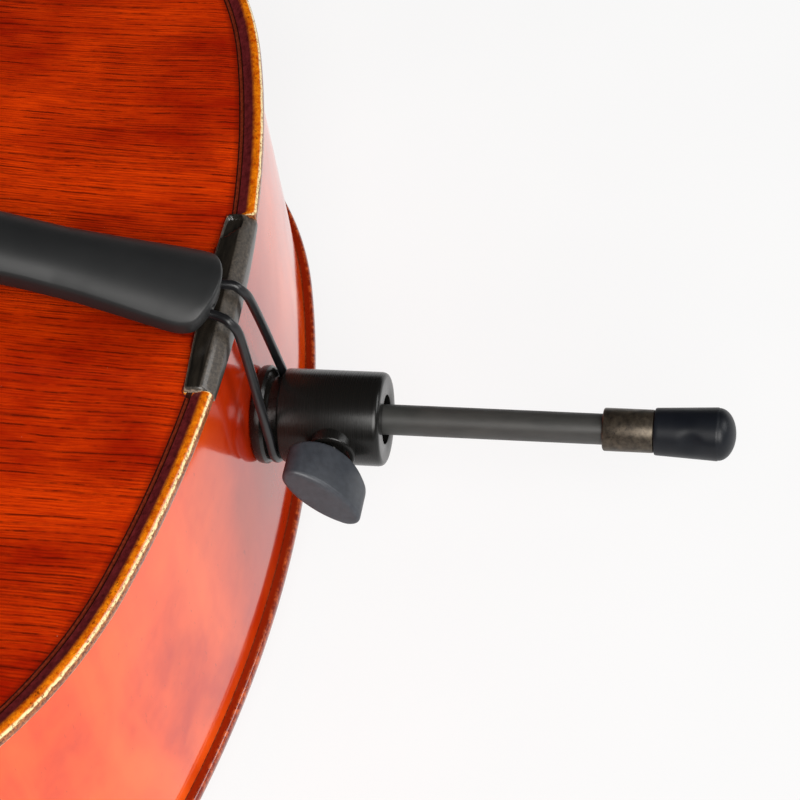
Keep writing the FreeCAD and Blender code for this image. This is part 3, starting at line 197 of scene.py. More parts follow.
def outline(step=2.0):
    """Closed plate outline, anticlockwise from the bottom centre."""
    half = bout_points(LOWER_BOUT, False, step) + bout_points(C_BOUT, False, step)
    half += bout_points(UPPER_BOUT, True, step)
    dense = []
    for a, b in zip(half, half[1:]):
        gap = math.dist(a, b)
        count = max(1, int(gap / step))
        if gap > 1e-6:
            dense += [(a[0] + (b[0] - a[0]) * k / count, a[1] + (b[1] - a[1]) * k / count)
                      for k in range(count)]
    dense.append(half[-1])
    other = [(-x, y) for x, y in dense[::-1]]
    return np.array(dense + other[1:-1])


def ring_offset(points, inset):
    """Each outline point moved inwards; points that fall in a corner snap to the nearest sound one."""
    ahead = np.roll(points, -1, 0) - np.roll(points, 1, 0)
    ahead /= np.linalg.norm(ahead, axis=1)[:, None]
    moved = points + inset * np.stack([-ahead[:, 1], ahead[:, 0]], 1)
    if inset < 0.05:
        return moved
    distance = np.min(np.linalg.norm(moved[:, None, :] - points[None, :, :], axis=2), axis=1)
    sound = distance > inset - 0.12 - 0.02 * inset
    index = np.arange(len(points))
    good = index[sound]
    for i in index[~sound]:
        gap = np.abs(good - i)
        gap = np.minimum(gap, len(points) - gap)
        moved[i] = moved[good[np.argmin(gap)]]
    return moved


def end_width(distance, bout):
    """Half width of the body at a distance from the end that a bout starts at."""
    (big, turn), (small, _), _ = bout["runs"]
    t = math.radians(turn)
    cx, cy = (big - small) * math.sin(t), big - (big - small) * math.cos(t)
    join = big - big * math.cos(t)
    if distance <= 0:
        return 0.0
    if distance < join:
        return math.sqrt(big ** 2 - (big - distance) ** 2)
    return cx + math.sqrt(max(small ** 2 - (cy - distance) ** 2, 0.0))


def half_width(y):
    """Half width that the arching spans: the outline's at the ends, the listed one between."""
    (first_y, first), (last_y, last) = ARCH_WIDTHS[0], ARCH_WIDTHS[-1]
    if y < first_y:
        return end_width(y, LOWER_BOUT) * first / end_width(first_y, LOWER_BOUT)
    if y > last_y:
        return end_width(BODY_LENGTH - y, UPPER_BOUT) * last / end_width(BODY_LENGTH - last_y, UPPER_BOUT)
    ys, widths = zip(*ARCH_WIDTHS)
    return curve(y, ys, widths)


def bell(t):
    """Smooth rise from 0 to 1."""
    t = min(max(t, 0.0), 1.0)
    return (1 - math.cos(math.pi * t)) / 2


WIDTH_TABLE_Y = np.arange(-5.0, BODY_LENGTH + 5.0, 1.0)
WIDTH_TABLE = np.array([half_width(y) for y in WIDTH_TABLE_Y])
WIDTH_TABLE = np.convolve(np.pad(WIDTH_TABLE, 12, mode="edge"), np.ones(25) / 25, mode="valid")


def arch(x, y, rise, margin):
    """Height of the arching over the flat edge, which is as wide as the margin."""
    width = curve(y, WIDTH_TABLE_Y, WIDTH_TABLE) - margin
    if width <= 1.0:
        return 0.0
    along = bell((y - margin) / END_RISE_LENGTH) * bell((BODY_LENGTH - margin - y) / END_RISE_LENGTH)
    return rise * bell(1 - abs(x) / width) * along


def f_hole_loop(side):
    """Closed outline of one sound hole."""
    line = smooth_path([(x, y, 0) for x, y in F_HOLE_LINE], 10)[:, :2]
    tangent = np.gradient(line, axis=0)
    tangent /= np.linalg.norm(tangent, axis=1)[:, None]
    normal = np.stack([-tangent[:, 1], tangent[:, 0]], 1)
    share = np.linspace(0, 1, len(line))
    width = (3.0 + 6.0 * np.sin(math.pi * share) ** 2)[:, None] / 2
    band = np.vstack([line + normal * width, (line - normal * width)[::-1]])
    return band * np.array([side, 1.0])


# ------------------------------------------------------------------ materials
# distance from the rim that a ramp covers
RAMP_LENGTH = 10.0


class Shade:
    """Small helper for node materials; places are in millimetres."""

    SOCKETS = {"rough": "Roughness", "metal": "Metallic", "coat": "Coat Weight",
               "coat_rough": "Coat Roughness", "ior": "IOR", "spec": "Specular IOR Level"}

    def __init__(self, name):
        self.mat = bpy.data.materials.new(name)
        self.mat.use_nodes = True
        self.tree = self.mat.node_tree
        self.bsdf = next(n for n in self.tree.nodes if n.type == "BSDF_PRINCIPLED")
        coords = self.add("ShaderNodeTexCoord")
        scale = self.add("ShaderNodeVectorMath", operation="SCALE")
        scale.inputs["Scale"].default_value = 1000.0
        self.link(coords.outputs["Object"], scale.inputs[0])
        self.mm = scale.outputs[0]

    def add(self, kind, **settings):
        node = self.tree.nodes.new(kind)
        for key, value in settings.items():
            setattr(node, key, value)
        return node

    def link(self, a, b):
        self.tree.links.new(a, b)

    def feed(self, socket, value):
        """Gives a socket the value of another socket, a number or a colour."""
        if hasattr(value, "is_linked"):
            self.link(value, socket)
        else:
            socket.default_value = (*value, 1) if hasattr(value, "__len__") else value

    def set(self, **values):
        for key, value in values.items():
            self.bsdf.inputs[self.SOCKETS[key]].default_value = value

    def scaled(self, *scale):
        node = self.add("ShaderNodeMapping")
        node.inputs["Scale"].default_value = scale
        self.link(self.mm, node.inputs["Vector"])
        return node.outputs[0]

    def noise(self, scale, detail=4.0, rough=0.55, vector=None, distortion=0.0):
        node = self.add("ShaderNodeTexNoise")
        node.inputs["Scale"].default_value = scale
        node.inputs["Detail"].default_value = detail
        node.inputs["Roughness"].default_value = rough
        node.inputs["Distortion"].default_value = distortion
        self.link(vector or self.mm, node.inputs["Vector"])
        return node.outputs["Fac"]

    def ramp(self, value, *stops):
        node = self.add("ShaderNodeValToRGB")
        elements = node.color_ramp.elements
        while len(elements) < len(stops):
            elements.new(0.5)
        for element, (position, level) in zip(elements, stops):
            element.position = position
            element.color = (level, level, level, 1)
        self.link(value, node.inputs[0])
        return node.outputs[0]

    def mix(self, factor, a, b):
        node = self.add("ShaderNodeMix", data_type="RGBA")
        for index, value in ((0, factor), (6, a), (7, b)):
            self.feed(node.inputs[index], value)
        return node.outputs[2]

    def fade(self, value, low, high, a, b, most=1.0):
        """From colour a to colour b as the value passes from low to high."""
        return self.mix(self.ramp(value, (low, 0.0), (high, most)), a, b)

    def math(self, operation, a, b=0.0):
        node = self.add("ShaderNodeMath", operation=operation)
        self.feed(node.inputs[0], a)
        self.feed(node.inputs[1], b)
        return node.outputs[0]

    def colour(self, socket):
        self.link(socket, self.bsdf.inputs["Base Color"])

    def rough(self, value, low, high, least, most):
        """Roughness from least to most as the value passes from low to high."""
        self.link(self.ramp(value, (low, least), (high, most)), self.bsdf.inputs["Roughness"])

    def bump(self, socket, strength, distance_mm):
        node = self.add("ShaderNodeBump")
        node.inputs["Strength"].default_value = strength
        node.inputs["Distance"].default_value = distance_mm * MM
        self.link(socket, node.inputs["Height"])
        self.link(node.outputs[0], self.bsdf.inputs["Normal"])

    def attribute(self, name):
        return self.add("ShaderNodeAttribute", attribute_name=name).outputs["Fac"]


def grain_lines(s, pitch, seed, sharp):
    """Dark late-wood lines along y, and a noise that breaks each line into dashes of its own."""
    parts = s.add("ShaderNodeSeparateXYZ")
    s.link(s.mm, parts.inputs[0])
    warp = s.noise(0.010, 3, 0.5, s.scaled(1, 0.25, 0.2))
    flutter = s.noise(1.0, 3, 0.6, s.scaled(0.08, 0.05, 0.05))
    bend = s.math("ADD", s.math("MULTIPLY", warp, 18.0), s.math("MULTIPLY", flutter, 1.6))
    across = s.math("DIVIDE", s.math("ADD", parts.outputs[0], bend), pitch)
    ring = s.math("ABSOLUTE", s.math("SUBTRACT", s.math("FRACT", across), 0.5))
    line = s.ramp(s.math("MULTIPLY", ring, 2.0), (0.0, 1.0), (sharp, 0.85), (sharp * 2.0, 0.0))
    number = s.math("FLOOR", across)
    place = s.add("ShaderNodeCombineXYZ")
    s.link(s.math("MULTIPLY", number, 7.31 + seed), place.inputs[0])
    s.link(s.math("MULTIPLY", parts.outputs[1], 0.045), place.inputs[1])
    return line, s.noise(1.0, 4, 0.75, place.outputs[0])


def varnished_top():
    """Orange-red gloss varnish over fine dark grain, with a worn, stained edge and a painted highlight along
    its rounded rim.
    """
    s = Shade("varnished_spruce")
    fine, fine_dash = grain_lines(s, 1.05, 0.0, 0.30)
    bold, bold_dash = grain_lines(s, 2.9, 3.7, 0.15)
    patches = s.noise(1.0, 4, 0.6, s.scaled(0.030, 0.008, 0.008))
    fine = s.math("MULTIPLY", fine, s.ramp(fine_dash, (0.38, 0.10), (0.60, 0.85)))
    fine = s.math("MULTIPLY", fine, s.ramp(patches, (0.38, 0.30), (0.62, 1.0)))
    bold = s.math("MULTIPLY", bold, s.ramp(bold_dash, (0.40, 0.0), (0.58, 0.9)))
    grain = s.math("MAXIMUM", fine, bold)
    fibre = s.noise(1.0, 5, 0.7, s.scaled(2.6, 0.09, 0.1))
    cloud = s.noise(1.0, 5, 0.62, s.scaled(0.035, 0.016, 0.016))
    base = s.fade(cloud, 0.34, 0.60, (0.31, 0.0080, 0.0005), (0.72, 0.048, 0.0010))
    base = s.fade(fibre, 0.42, 0.64, base, (0.32, 0.009, 0.0005), 0.75)
    body = s.mix(s.math("MULTIPLY", grain, 0.88), base, (0.035, 0.0022, 0.0008))
    specks = s.ramp(s.noise(0.75, 2, 0.5), (0.795, 0.0), (0.815, 0.75))
    speckled_places = s.ramp(s.noise(0.03, 2), (0.5, 0.0), (0.6, 1.0))
    body = s.mix(s.math("MULTIPLY", specks, speckled_places), body, (0.75, 0.35, 0.22))

    wobble = s.math("MULTIPLY", s.math("SUBTRACT", s.noise(0.35, 3), 0.5), 0.4)
    edge = s.math("DIVIDE", s.math("ADD", s.attribute("inset"), wobble), RAMP_LENGTH)
    streak = s.noise(0.5, 4, 0.7)
    crest = s.fade(streak, 0.35, 0.65, (0.42, 0.055, 0.0008), (0.80, 0.22, 0.004))
    crest = s.fade(s.noise(0.9, 5, 0.75), 0.56, 0.66, crest, (0.05, 0.008, 0.001), 0.85)
    # worn pale wood along the rounded rim, partly a painted highlight: its bright cream stands in for the
    # light caught there
    pale_rim = s.fade(s.noise(1.0, 4, 0.75), 0.38, 0.50, (0.24, 0.08, 0.015), (0.88, 0.70, 0.36))
    wall = s.fade(s.noise(1.3, 4, 0.75), 0.42, 0.58, (0.09, 0.018, 0.005), (0.42, 0.13, 0.035))
    channel = s.fade(streak, 0.3, 0.7, (0.050, 0.0045, 0.005), (0.16, 0.018, 0.020))
    rim = s.fade(edge, 0.014, 0.024, wall, pale_rim)
    rim = s.fade(edge, 0.055, 0.085, rim, crest)
    rim = s.fade(edge, 0.24, 0.36, rim, channel)
    inner = s.fade(edge, 0.80, 1.0, s.mix(0.6, body, (0.07, 0.003, 0.001)), body)
    s.colour(s.fade(edge, 0.61, 0.66, rim, inner))
    s.rough(s.noise(0.05, 3), 0.3, 0.7, 0.24, 0.38)
    s.set(coat=0.6, coat_rough=0.06, spec=0.1)
    relief = s.math("MULTIPLY", s.math("SUBTRACT", s.noise(0.25, 4), grain), 0.5)
    s.bump(relief, 0.35, 0.08)
    return s.mat


def purfling_inlay():
    """Two black lines with a red-brown strip between them."""
    s = Shade("purfling_inlay")
    place = s.math("DIVIDE", s.attribute("inset"), RAMP_LENGTH)
    fibre = s.noise(1.2, 4, 0.7)
    strip = s.fade(fibre, 0.35, 0.65, (0.085, 0.008, 0.003), (0.19, 0.026, 0.008))
    line = s.fade(fibre, 0.35, 0.65, (0.012, 0.002, 0.001), (0.030, 0.004, 0.002))
    inner = s.ramp(place, (0.655, 0.0), (0.675, 1.0), (0.745, 1.0), (0.765, 0.0))
    s.colour(s.mix(inner, line, strip))
    s.rough(fibre, 0.3, 0.7, 0.28, 0.42)
    s.set(coat=0.6, coat_rough=0.08, spec=0.25)
    s.bump(fibre, 0.2, 0.05)
    return s.mat


def varnished_maple(name, dark, bright, flame=0.5, painted_shade=None, **gloss):
    """Gloss varnish over figured maple, with painted shade at the middle of the body (round the endpin) where
    a shade colour is given.
    """
    s = Shade(name)
    stripes = s.noise(1.0, 3, 0.5, s.scaled(0.02, 0.11, 0.012), 0.6)
    blotch = s.noise(0.02, 4, 0.6)
    base = s.fade(blotch, 0.3, 0.7, dark, bright)
    glow = tuple(min(1.0, c * 1.35 + 0.01) for c in bright)
    figure = s.math("MULTIPLY", s.ramp(stripes, (0.38, 0.0), (0.62, 1.0)), flame)
    base = s.mix(figure, base, glow)
    # painted shade: the base colour darkens towards the middle of the body, where the endpin socket shades
    # the ribs
    if painted_shade:
        parts = s.add("ShaderNodeSeparateXYZ")
        s.link(s.mm, parts.inputs[0])
        reach = s.math("DIVIDE", s.math("ABSOLUTE", parts.outputs[0]), 200.0)
        reach = s.math("ADD", reach, s.math("MULTIPLY", s.math("SUBTRACT", blotch, 0.5), 0.15))
        base = s.mix(s.ramp(reach, (0.10, 0.85), (0.36, 0.0)), base, painted_shade)
    pores = s.noise(1.0, 3, 0.7, s.scaled(0.25, 1.8, 0.25))
    s.colour(s.fade(pores, 0.64, 0.74, base, tuple(c * 0.25 for c in dark), 0.35))
    s.rough(s.noise(0.05, 3), 0.3, 0.7, 0.05, 0.14)
    s.set(**gloss)
    s.bump(s.noise(0.030, 2, 0.4), 0.40, 0.45)
    return s.mat


def varnished_back():
    """Figured varnish, with a dark stained channel and a bright worn edge by distance from the rim."""
    s = Shade("varnished_back")
    stripes = s.noise(1.0, 3, 0.5, s.scaled(0.010, 0.10, 0.1), 0.8)
    base = s.fade(s.noise(0.012, 4), 0.3, 0.7, (0.20, 0.010, 0.002), (0.42, 0.045, 0.004))
    figure = s.math("MULTIPLY", s.ramp(stripes, (0.4, 0.0), (0.6, 1.0)), 0.6)
    base = s.mix(figure, base, (0.52, 0.085, 0.008))
    edge = s.math("DIVIDE", s.attribute("inset"), RAMP_LENGTH)
    pale_rim = s.fade(s.noise(0.5, 4, 0.7), 0.45, 0.62, (0.17, 0.012, 0.002), (0.46, 0.085, 0.018))
    groove = s.fade(s.noise(1.1, 4, 0.75), 0.45, 0.6, (0.035, 0.004, 0.001), (0.16, 0.07, 0.03))
    rim = s.fade(edge, 0.09, 0.16, pale_rim, (0.20, 0.012, 0.001))
    rim = s.mix(s.ramp(edge, (0.30, 0.0), (0.36, 1.0), (0.40, 1.0), (0.46, 0.0)), rim, groove)
    s.colour(s.fade(edge, 0.40, 0.62, rim, base))
    s.rough(s.noise(0.06, 3), 0.3, 0.7, 0.24, 0.36)
    s.set(coat=0.7, coat_rough=0.08, spec=0.2)
    s.bump(s.noise(0.2, 4), 0.25, 0.1)
    return s.mat


def speckled(name, colours, scale, rough, specks=None, speck_scale=0.9, bump=0.2, bump_mm=0.05,
             stretch=(1, 1, 1), **settings):
    """A mottled finish: two tones, grain in the relief and optional specks (level, colour, strength)."""
    s = Shade(name)
    base = s.fade(s.noise(scale, 5, 0.6, s.scaled(*stretch)), 0.3, 0.7, *colours)
    if specks:
        level, colour, strength = specks
        base = s.fade(s.noise(speck_scale, 4, 0.7), level, level + 0.05, base, colour, strength)
    s.colour(base)
    s.rough(s.noise(scale * 0.7, 3), 0.3, 0.7, *rough)
    s.set(**settings)
    s.bump(s.noise(scale * 4, 5, 0.65, s.scaled(*stretch)), bump, bump_mm)
    return s.mat


def wood(name, light, dark, rough, along="y", **settings):
    """Plain wood with long fibres along one axis."""
    s = Shade(name)
    fibre = s.noise(1.0, 5, 0.65, s.scaled(*(0.04 if axis == along else 0.9 for axis in "xyz")))
    base = s.fade(fibre, 0.35, 0.65, dark, light)
    s.colour(s.fade(s.noise(0.03, 3), 0.3, 0.7, base, tuple(c * 0.6 for c in dark), 0.3))
    s.rough(fibre, 0.3, 0.7, *rough)
    s.set(**settings)
    s.bump(fibre, 0.25, 0.08)
    return s.mat


def worn_ebony():
    """Black polished wood, rough and grey where it is worn; the attribute says how worn."""
    s = Shade("worn_ebony")
    grain = s.noise(1.0, 5, 0.65, s.scaled(0.06, 0.6, 0.6))
    base = s.fade(grain, 0.35, 0.65, (0.006, 0.005, 0.004), (0.020, 0.016, 0.012))
    wear = s.attribute("inset")
    pits = s.noise(1.1, 5, 0.75)
    grey = s.fade(pits, 0.35, 0.65, (0.014, 0.012, 0.010), (0.085, 0.068, 0.052))
    base = s.fade(wear, 0.15, 0.55, base, grey)
    bare = s.ramp(wear, (0.78, 0.0), (0.95, 1.0))
    pale = s.math("MULTIPLY", bare, s.ramp(pits, (0.40, 0.25), (0.55, 1.0)))
    s.colour(s.mix(pale, base, (0.42, 0.33, 0.25)))
    s.rough(wear, 0.1, 0.5, 0.20, 0.50)
    s.set(coat=0.35, coat_rough=0.12)
    s.bump(pits, 0.45, 0.12)
    return s.mat


def turned_metal(name, colours, rough, **settings):
    """Black metal with fine rings from the lathe."""
    s = Shade(name)
    rings = s.noise(1.0, 4, 0.7, s.scaled(0.02, 4.0, 0.02))
    s.colour(s.fade(rings, 0.3, 0.7, *colours))
    s.rough(rings, 0.3, 0.7, *rough)
    s.set(**settings)
    s.bump(rings, 0.05, 0.01)
    return s.mat


MAT = {
    "top": varnished_top(),
    # the rib's last colour is the painted shade round the endpin
    "rib": varnished_maple("varnished_rib", (0.50, 0.020, 0.001), (0.94, 0.095, 0.004), 0.55,
                           (0.36, 0.010, 0.001), ior=1.56),
    "back": varnished_back(),
    "neck": varnished_maple("varnished_neck", (0.20, 0.035, 0.006), (0.38, 0.10, 0.02), coat=0.8,
                            coat_rough=0.08),
    "purfling": purfling_inlay(),
    "pale": wood("pale_spruce", (0.62, 0.43, 0.24), (0.48, 0.30, 0.15), (0.6, 0.75)),
    "bridge": wood("bridge_maple", (0.58, 0.34, 0.15), (0.42, 0.22, 0.08), (0.45, 0.6), along="x"),
    "ebony": wood("ebony", (0.026, 0.021, 0.018), (0.010, 0.008, 0.007), (0.28, 0.45), coat=0.25,
                  coat_rough=0.2),
    "saddle": worn_ebony(),
    "plug": speckled("plug_ebony", ((0.003, 0.0026, 0.0024), (0.008, 0.007, 0.006)), 0.5, (0.20, 0.34),
                     (0.64, (0.035, 0.026, 0.016), 0.7), 1.3, 0.3, 0.06, spec=0.4),
    "composite": speckled("tailpiece_composite", ((0.012, 0.0125, 0.013), (0.018, 0.0185, 0.019)), 0.03,
                          (0.40, 0.48), (0.74, (0.45, 0.42, 0.38), 0.35), 1.9, 0.15, 0.03, spec=0.35),
    "cord": speckled("tailgut_cord", ((0.006, 0.006, 0.007), (0.011, 0.011, 0.012)), 0.2, (0.28, 0.38),
                     bump=0.1, spec=0.4),
    "socket": turned_metal("socket_black", ((0.0045, 0.0045, 0.004), (0.0075, 0.007, 0.0065)), (0.24, 0.30),
                           spec=0.3),
    "black_steel": speckled("black_steel", ((0.010, 0.010, 0.010), (0.02, 0.02, 0.02)), 0.5, (0.25, 0.4),
                            coat=0.2),
    "knob": speckled("knob_plastic", ((0.027, 0.030, 0.037), (0.041, 0.046, 0.056)), 0.4, (0.40, 0.50),
                     bump=0.35, bump_mm=0.03),
    "rod": speckled("rod_grey", ((0.030, 0.030, 0.028), (0.044, 0.043, 0.040)), 0.25, (0.42, 0.55),
                    (0.68, (0.016, 0.016, 0.015), 0.8), 1.1, 0.2, 0.03, stretch=(1, 0.35, 1)),
    "antique": speckled("antique_bronze", ((0.028, 0.022, 0.017), (0.10, 0.080, 0.058)), 0.45, (0.34, 0.5),
                        (0.62, (0.012, 0.009, 0.008), 0.8), 1.2, 0.35, 0.05, metal=0.7),
    "brass": speckled("brass", ((0.42, 0.28, 0.10), (0.56, 0.40, 0.17)), 0.3, (0.28, 0.42), metal=1.0),
    "steel": speckled("string_steel", ((0.42, 0.42, 0.43), (0.56, 0.56, 0.57)), 1.0, (0.25, 0.4), metal=1.0),
    "rubber": speckled("rubber", ((0.0045, 0.0055, 0.008), (0.007, 0.0085, 0.012)), 0.12, (0.36, 0.48),
                       (0.72, (0.04, 0.04, 0.045), 0.35), 1.4, 0.2, 0.04, spec=0.25),
}


# ------------------------------------------------------------------ plates
# the edge's section: distance from the rim, height of the outer face, height of the inner face
EDGE_RINGS = [(0.0, 2.9, 1.5), (0.25, 3.8, 0.7), (0.8, 4.5, 0.15), (1.5, 4.85, 0.0), (2.3, 4.95, 0.0),
              (3.1, 4.8, 0.0), (4.0, 4.4, 0.0), (5.0, 4.0, 0.0), (6.2, 3.8, 0.0), (6.9, 3.75, 0.0),
              (7.4, 3.75, 0.0), (8.0, 3.8, 0.0), (10.0, 3.95, 0.0), (12.5, 4.2, 0.0), (16.0, 4.4, 0.0),
              (20.0, 4.5, 0.0)]
EDGE_INSETS, EDGE_HEIGHTS, EDGE_UNDERS = ([ring[k] for ring in EDGE_RINGS] for k in range(3))
BELLY_RISE, BACK_RISE = 22.5, 20.5
FLAT_MARGIN = 12.0


def plate_top(x, y, inset, rise):
    """Height of the outer surface over the joint plane."""
    return curve(inset, EDGE_INSETS, EDGE_HEIGHTS) + arch(x, y, rise, FLAT_MARGIN)


def evened(points, step):
    """Closed outline resampled at an even spacing."""
    closed = np.vstack([points, points[:1]])
    along = np.concatenate([[0.0], np.cumsum(np.linalg.norm(np.diff(closed, axis=0), axis=1))])
    places = np.linspace(0.0, along[-1], int(along[-1] / step) + 1)[:-1]
    return np.column_stack([np.interp(places, along, closed[:, k]) for k in (0, 1)])


def softened(points, passes):
    """Closed outline with its corners slightly rounded."""
    for _ in range(passes):
        points = 0.25 * (np.roll(points, 1, 0) + np.roll(points, -1, 0)) + 0.5 * points
    return points


def layout(edge, steps, holes, grid):
    """Points, insets and faces of a flat plate: inset rings along its edge, then a filled middle."""
    rings = [ring_offset(edge, inset) for inset in steps]
    count = len(edge)
    flat = [tuple(p) for ring in rings for p in ring]
    insets = [inset for inset in steps for _ in range(count)]
    faces = grid_faces(len(rings), count, True)
    inner = rings[-1]
    keep = [0]
    for i in range(1, count):
        if np.linalg.norm(inner[i] - inner[keep[-1]]) > 0.16 * grid:
            keep.append(i)
    points = [Vector(inner[i]) for i in keep]
    edges = [(i, (i + 1) % len(keep)) for i in range(len(keep))]
    for hole in holes:
        start = len(points)
        points += [Vector(p) for p in hole]
        edges += [(start + i, start + (i + 1) % len(hole)) for i in range(len(hole))]
    fixed = np.array([tuple(p) for p in points])
    low, high = inner.min(0), inner.max(0)
    for y in np.arange(low[1] + grid / 3, high[1], grid):
        for x in np.arange(low[0] + grid / 3, high[0], grid):
            if inside(inner, x, y) and np.min(np.hypot(fixed[:, 0] - x, fixed[:, 1] - y)) > 0.55 * grid:
                points.append(Vector((x, y)))
    out_verts, _, out_faces, _, _, _ = delaunay_2d_cdt(points, edges, [], 0, 1e-4)
    base = len(flat)
    flat += [(v.x, v.y) for v in out_verts]
    insets += [steps[-1]] * len(out_verts)
    for f in out_faces:
        cx = sum(out_verts[i].x for i in f) / len(f)
        cy = sum(out_verts[i].y for i in f) / len(f)
        if inside(inner, cx, cy) and not any(inside(h, cx, cy) for h in holes):
            faces.append(tuple(base + i for i in f))
    return flat, insets, faces


def inside(polygon, x, y):
    """Whether a point lies in a closed outline."""
    px, py = polygon[:, 0], polygon[:, 1]
    qx, qy = np.roll(px, -1), np.roll(py, -1)
    crosses = (py > y) != (qy > y)
    with np.errstate(divide="ignore", invalid="ignore"):
        at = (qx - px) * (y - py) / (qy - py) + px
    return bool(np.sum(crosses & (x < at)) % 2)


def shell(name, node, pattern, top, low, material, place=None, angle=50.0, body="body"):
    """Closed body between two surfaces over one flat pattern, all in millimetres."""
    flat, insets, faces = pattern
    bm = bmesh.new()
    layer = bm.verts.layers.float.new("inset")
    upper, lower = [], []
    for (x, y), inset in zip(flat, insets):
        for height, store in ((top, upper), (low, lower)):
            v = bm.verts.new((x, y, height(x, y, inset)))
            v[layer] = inset
            store.append(v)
    for f in faces:
        for store, order in ((upper, 1), (lower, -1)):
            try:
                bm.faces.new([store[i] for i in f][::order])
            except ValueError:
                pass
    bmesh.ops.remove_doubles(bm, verts=bm.verts, dist=2e-3)
    stitch(bm, [e for e in bm.edges if len(e.link_faces) == 1])
    bmesh.ops.recalc_face_normals(bm, faces=bm.faces)
    for v in bm.verts:
        v.co = Vector(to_row([place @ v.co if place else v.co])[0])
    mesh = bpy.data.meshes.new(name)
    bm.to_mesh(mesh)
    bm.free()
    return finished(name, mesh, body, [node], material, angle)


def build_plate(name, node, rise, sign, seat, holes, material):
    """One arched plate with its rounded overhanging edge."""
    def outer(x, y, inset):
        return seat + sign * plate_top(x, y, inset, rise)

    def inner(x, y, inset):
        hollow = arch(x, y, rise - 0.6, 22.0) + (0.4 if inset >= EDGE_INSETS[-1] else 0.0)
        return seat + sign * (curve(inset, EDGE_INSETS, EDGE_UNDERS) + hollow)

    return shell(name, node, layout(outline(2.5), EDGE_INSETS, holes, 5.0), outer, inner, material)


def stitch(bm, rim):
    """Walls between the matching border loops of the two surfaces."""
    pairs = {}
    for e in rim:
        key = tuple(sorted((round(v.co.x, 2), round(v.co.y, 2)) for v in e.verts))
        pairs.setdefault(key, []).append(e)
    for edges in pairs.values():
        if len(edges) == 2:
            a, b = edges[0].verts
            c, d = edges[1].verts
            if (a.co.xy - c.co.xy).length > (a.co.xy - d.co.xy).length:
                c, d = d, c
            try:
                bm.faces.new((a, b, d, c))
            except ValueError:
                pass


def cut(obj, cutters, place):
    """Removes prisms from a piece; each is (plan corners, low, high) in millimetres, set by place."""
    verts, faces = [], []
    for plan, low, high in cutters:
        n, start = len(plan), len(verts)
        verts += [place @ Vector((x, y, z)) for z in (low, high) for x, y in plan]
        faces += [(start + i, start + (i + 1) % n, start + n + (i + 1) % n, start + n + i) for i in range(n)]
        faces += [tuple(start + i for i in range(n))[::-1], tuple(start + n + i for i in range(n))]
    mesh = bpy.data.meshes.new("cutter")
    mesh.from_pydata([tuple(v) for v in to_row(verts)], [], faces)
    cutter = bpy.data.objects.new("cutter", mesh)
    show(cutter)
    modifier = obj.modifiers.new("cut", "BOOLEAN")
    modifier.operation = "DIFFERENCE"
    modifier.solver = "EXACT"
    modifier.object = cutter
    apply_modifiers(obj)
    bpy.data.objects.remove(cutter)
    obj.data.set_sharp_from_angle(angle=math.radians(40))


def rectangle(x0, x1, y0, y1):
    """Corners, anticlockwise."""
    return [(x0, y0), (x1, y0), (x1, y1), (x0, y1)]


def circle(x, y, r, sides=24):
    return [(x + r * math.cos(2 * math.pi * k / sides), y + r * math.sin(2 * math.pi * k / sides))
            for k in range(sides)]


def apply_modifiers(obj):
    """Keeps the mesh that the piece's modifiers give."""
    graph = bpy.context.evaluated_depsgraph_get()
    mesh = bpy.data.meshes.new_from_object(obj.evaluated_get(graph))
    obj.modifiers.clear()
    obj.data = mesh


SADDLE_HALF, SADDLE_X, SADDLE_FAR = 35.5, -2.0, 10.5


def saddle_slot(far):
    """Cutter for the slot that the saddle fills, from outside the edge to its far side."""
    return rectangle(SADDLE_X - SADDLE_HALF, SADDLE_X + SADDLE_HALF, -8.0, far), -2.0, 12.0


belly = build_plate("belly_plate", "belly", BELLY_RISE, 1, 0.0, [f_hole_loop(-1), f_hole_loop(1)], MAT["top"])
cut(belly, [saddle_slot(SADDLE_FAR)]
    + [(circle(side * x, y, r), -2.0, 40.0) for (x, y), r in F_EYES for side in (-1, 1)], Matrix())
build_plate("back_plate", "back", BACK_RISE, -1, -RIB_HEIGHT, [], MAT["back"])


def back_button():
    """Half-round button of the back plate under the neck's heel."""
    steps = [0.0, 0.4, 1.2, 2.4]

    def outer(x, y, inset):
        return -RIB_HEIGHT - curve(inset, steps, [2.9, 3.8, 4.35, 4.45])

    pattern = layout(np.array(circle(0.0, BODY_LENGTH + 6.0, 14.4, 72)), steps, [], 4.0)
    shell("back_plate_button", "back", pattern, outer, lambda x, y, inset: -RIB_HEIGHT - 0.05, MAT["back"])


back_button()


def inlay(name, node, seat, sign, material):
    """Purfling: two dark lines with a red-brown strip between them, just proud of the channel's floor."""
    edge = outline(2.5)
    verts, values = [], []
    # (distance from the rim, lift over the channel's floor) across the inlay
    across = [(6.2, -0.5), (6.2, 0.03), (6.6, 0.04), (6.7, 0.0), (7.1, 0.0), (7.5, 0.0), (7.6, 0.04),
              (8.0, 0.03), (8.0, -0.5)]
    for inset, lift in across:
        ring = ring_offset(edge, inset)
        verts += [(x, y, seat + sign * (lift + plate_top(x, y, inset, BELLY_RISE))) for x, y in ring]
        values += [inset] * len(ring)
    count = len(edge)
    faces = grid_faces(len(across), count, True)
    faces += [(j, (j + 1) % count, (len(across) - 1) * count + (j + 1) % count, (len(across) - 1) * count + j)
              for j in range(count)]
    return piece(name, verts, faces, "body", [node], material, values=values)


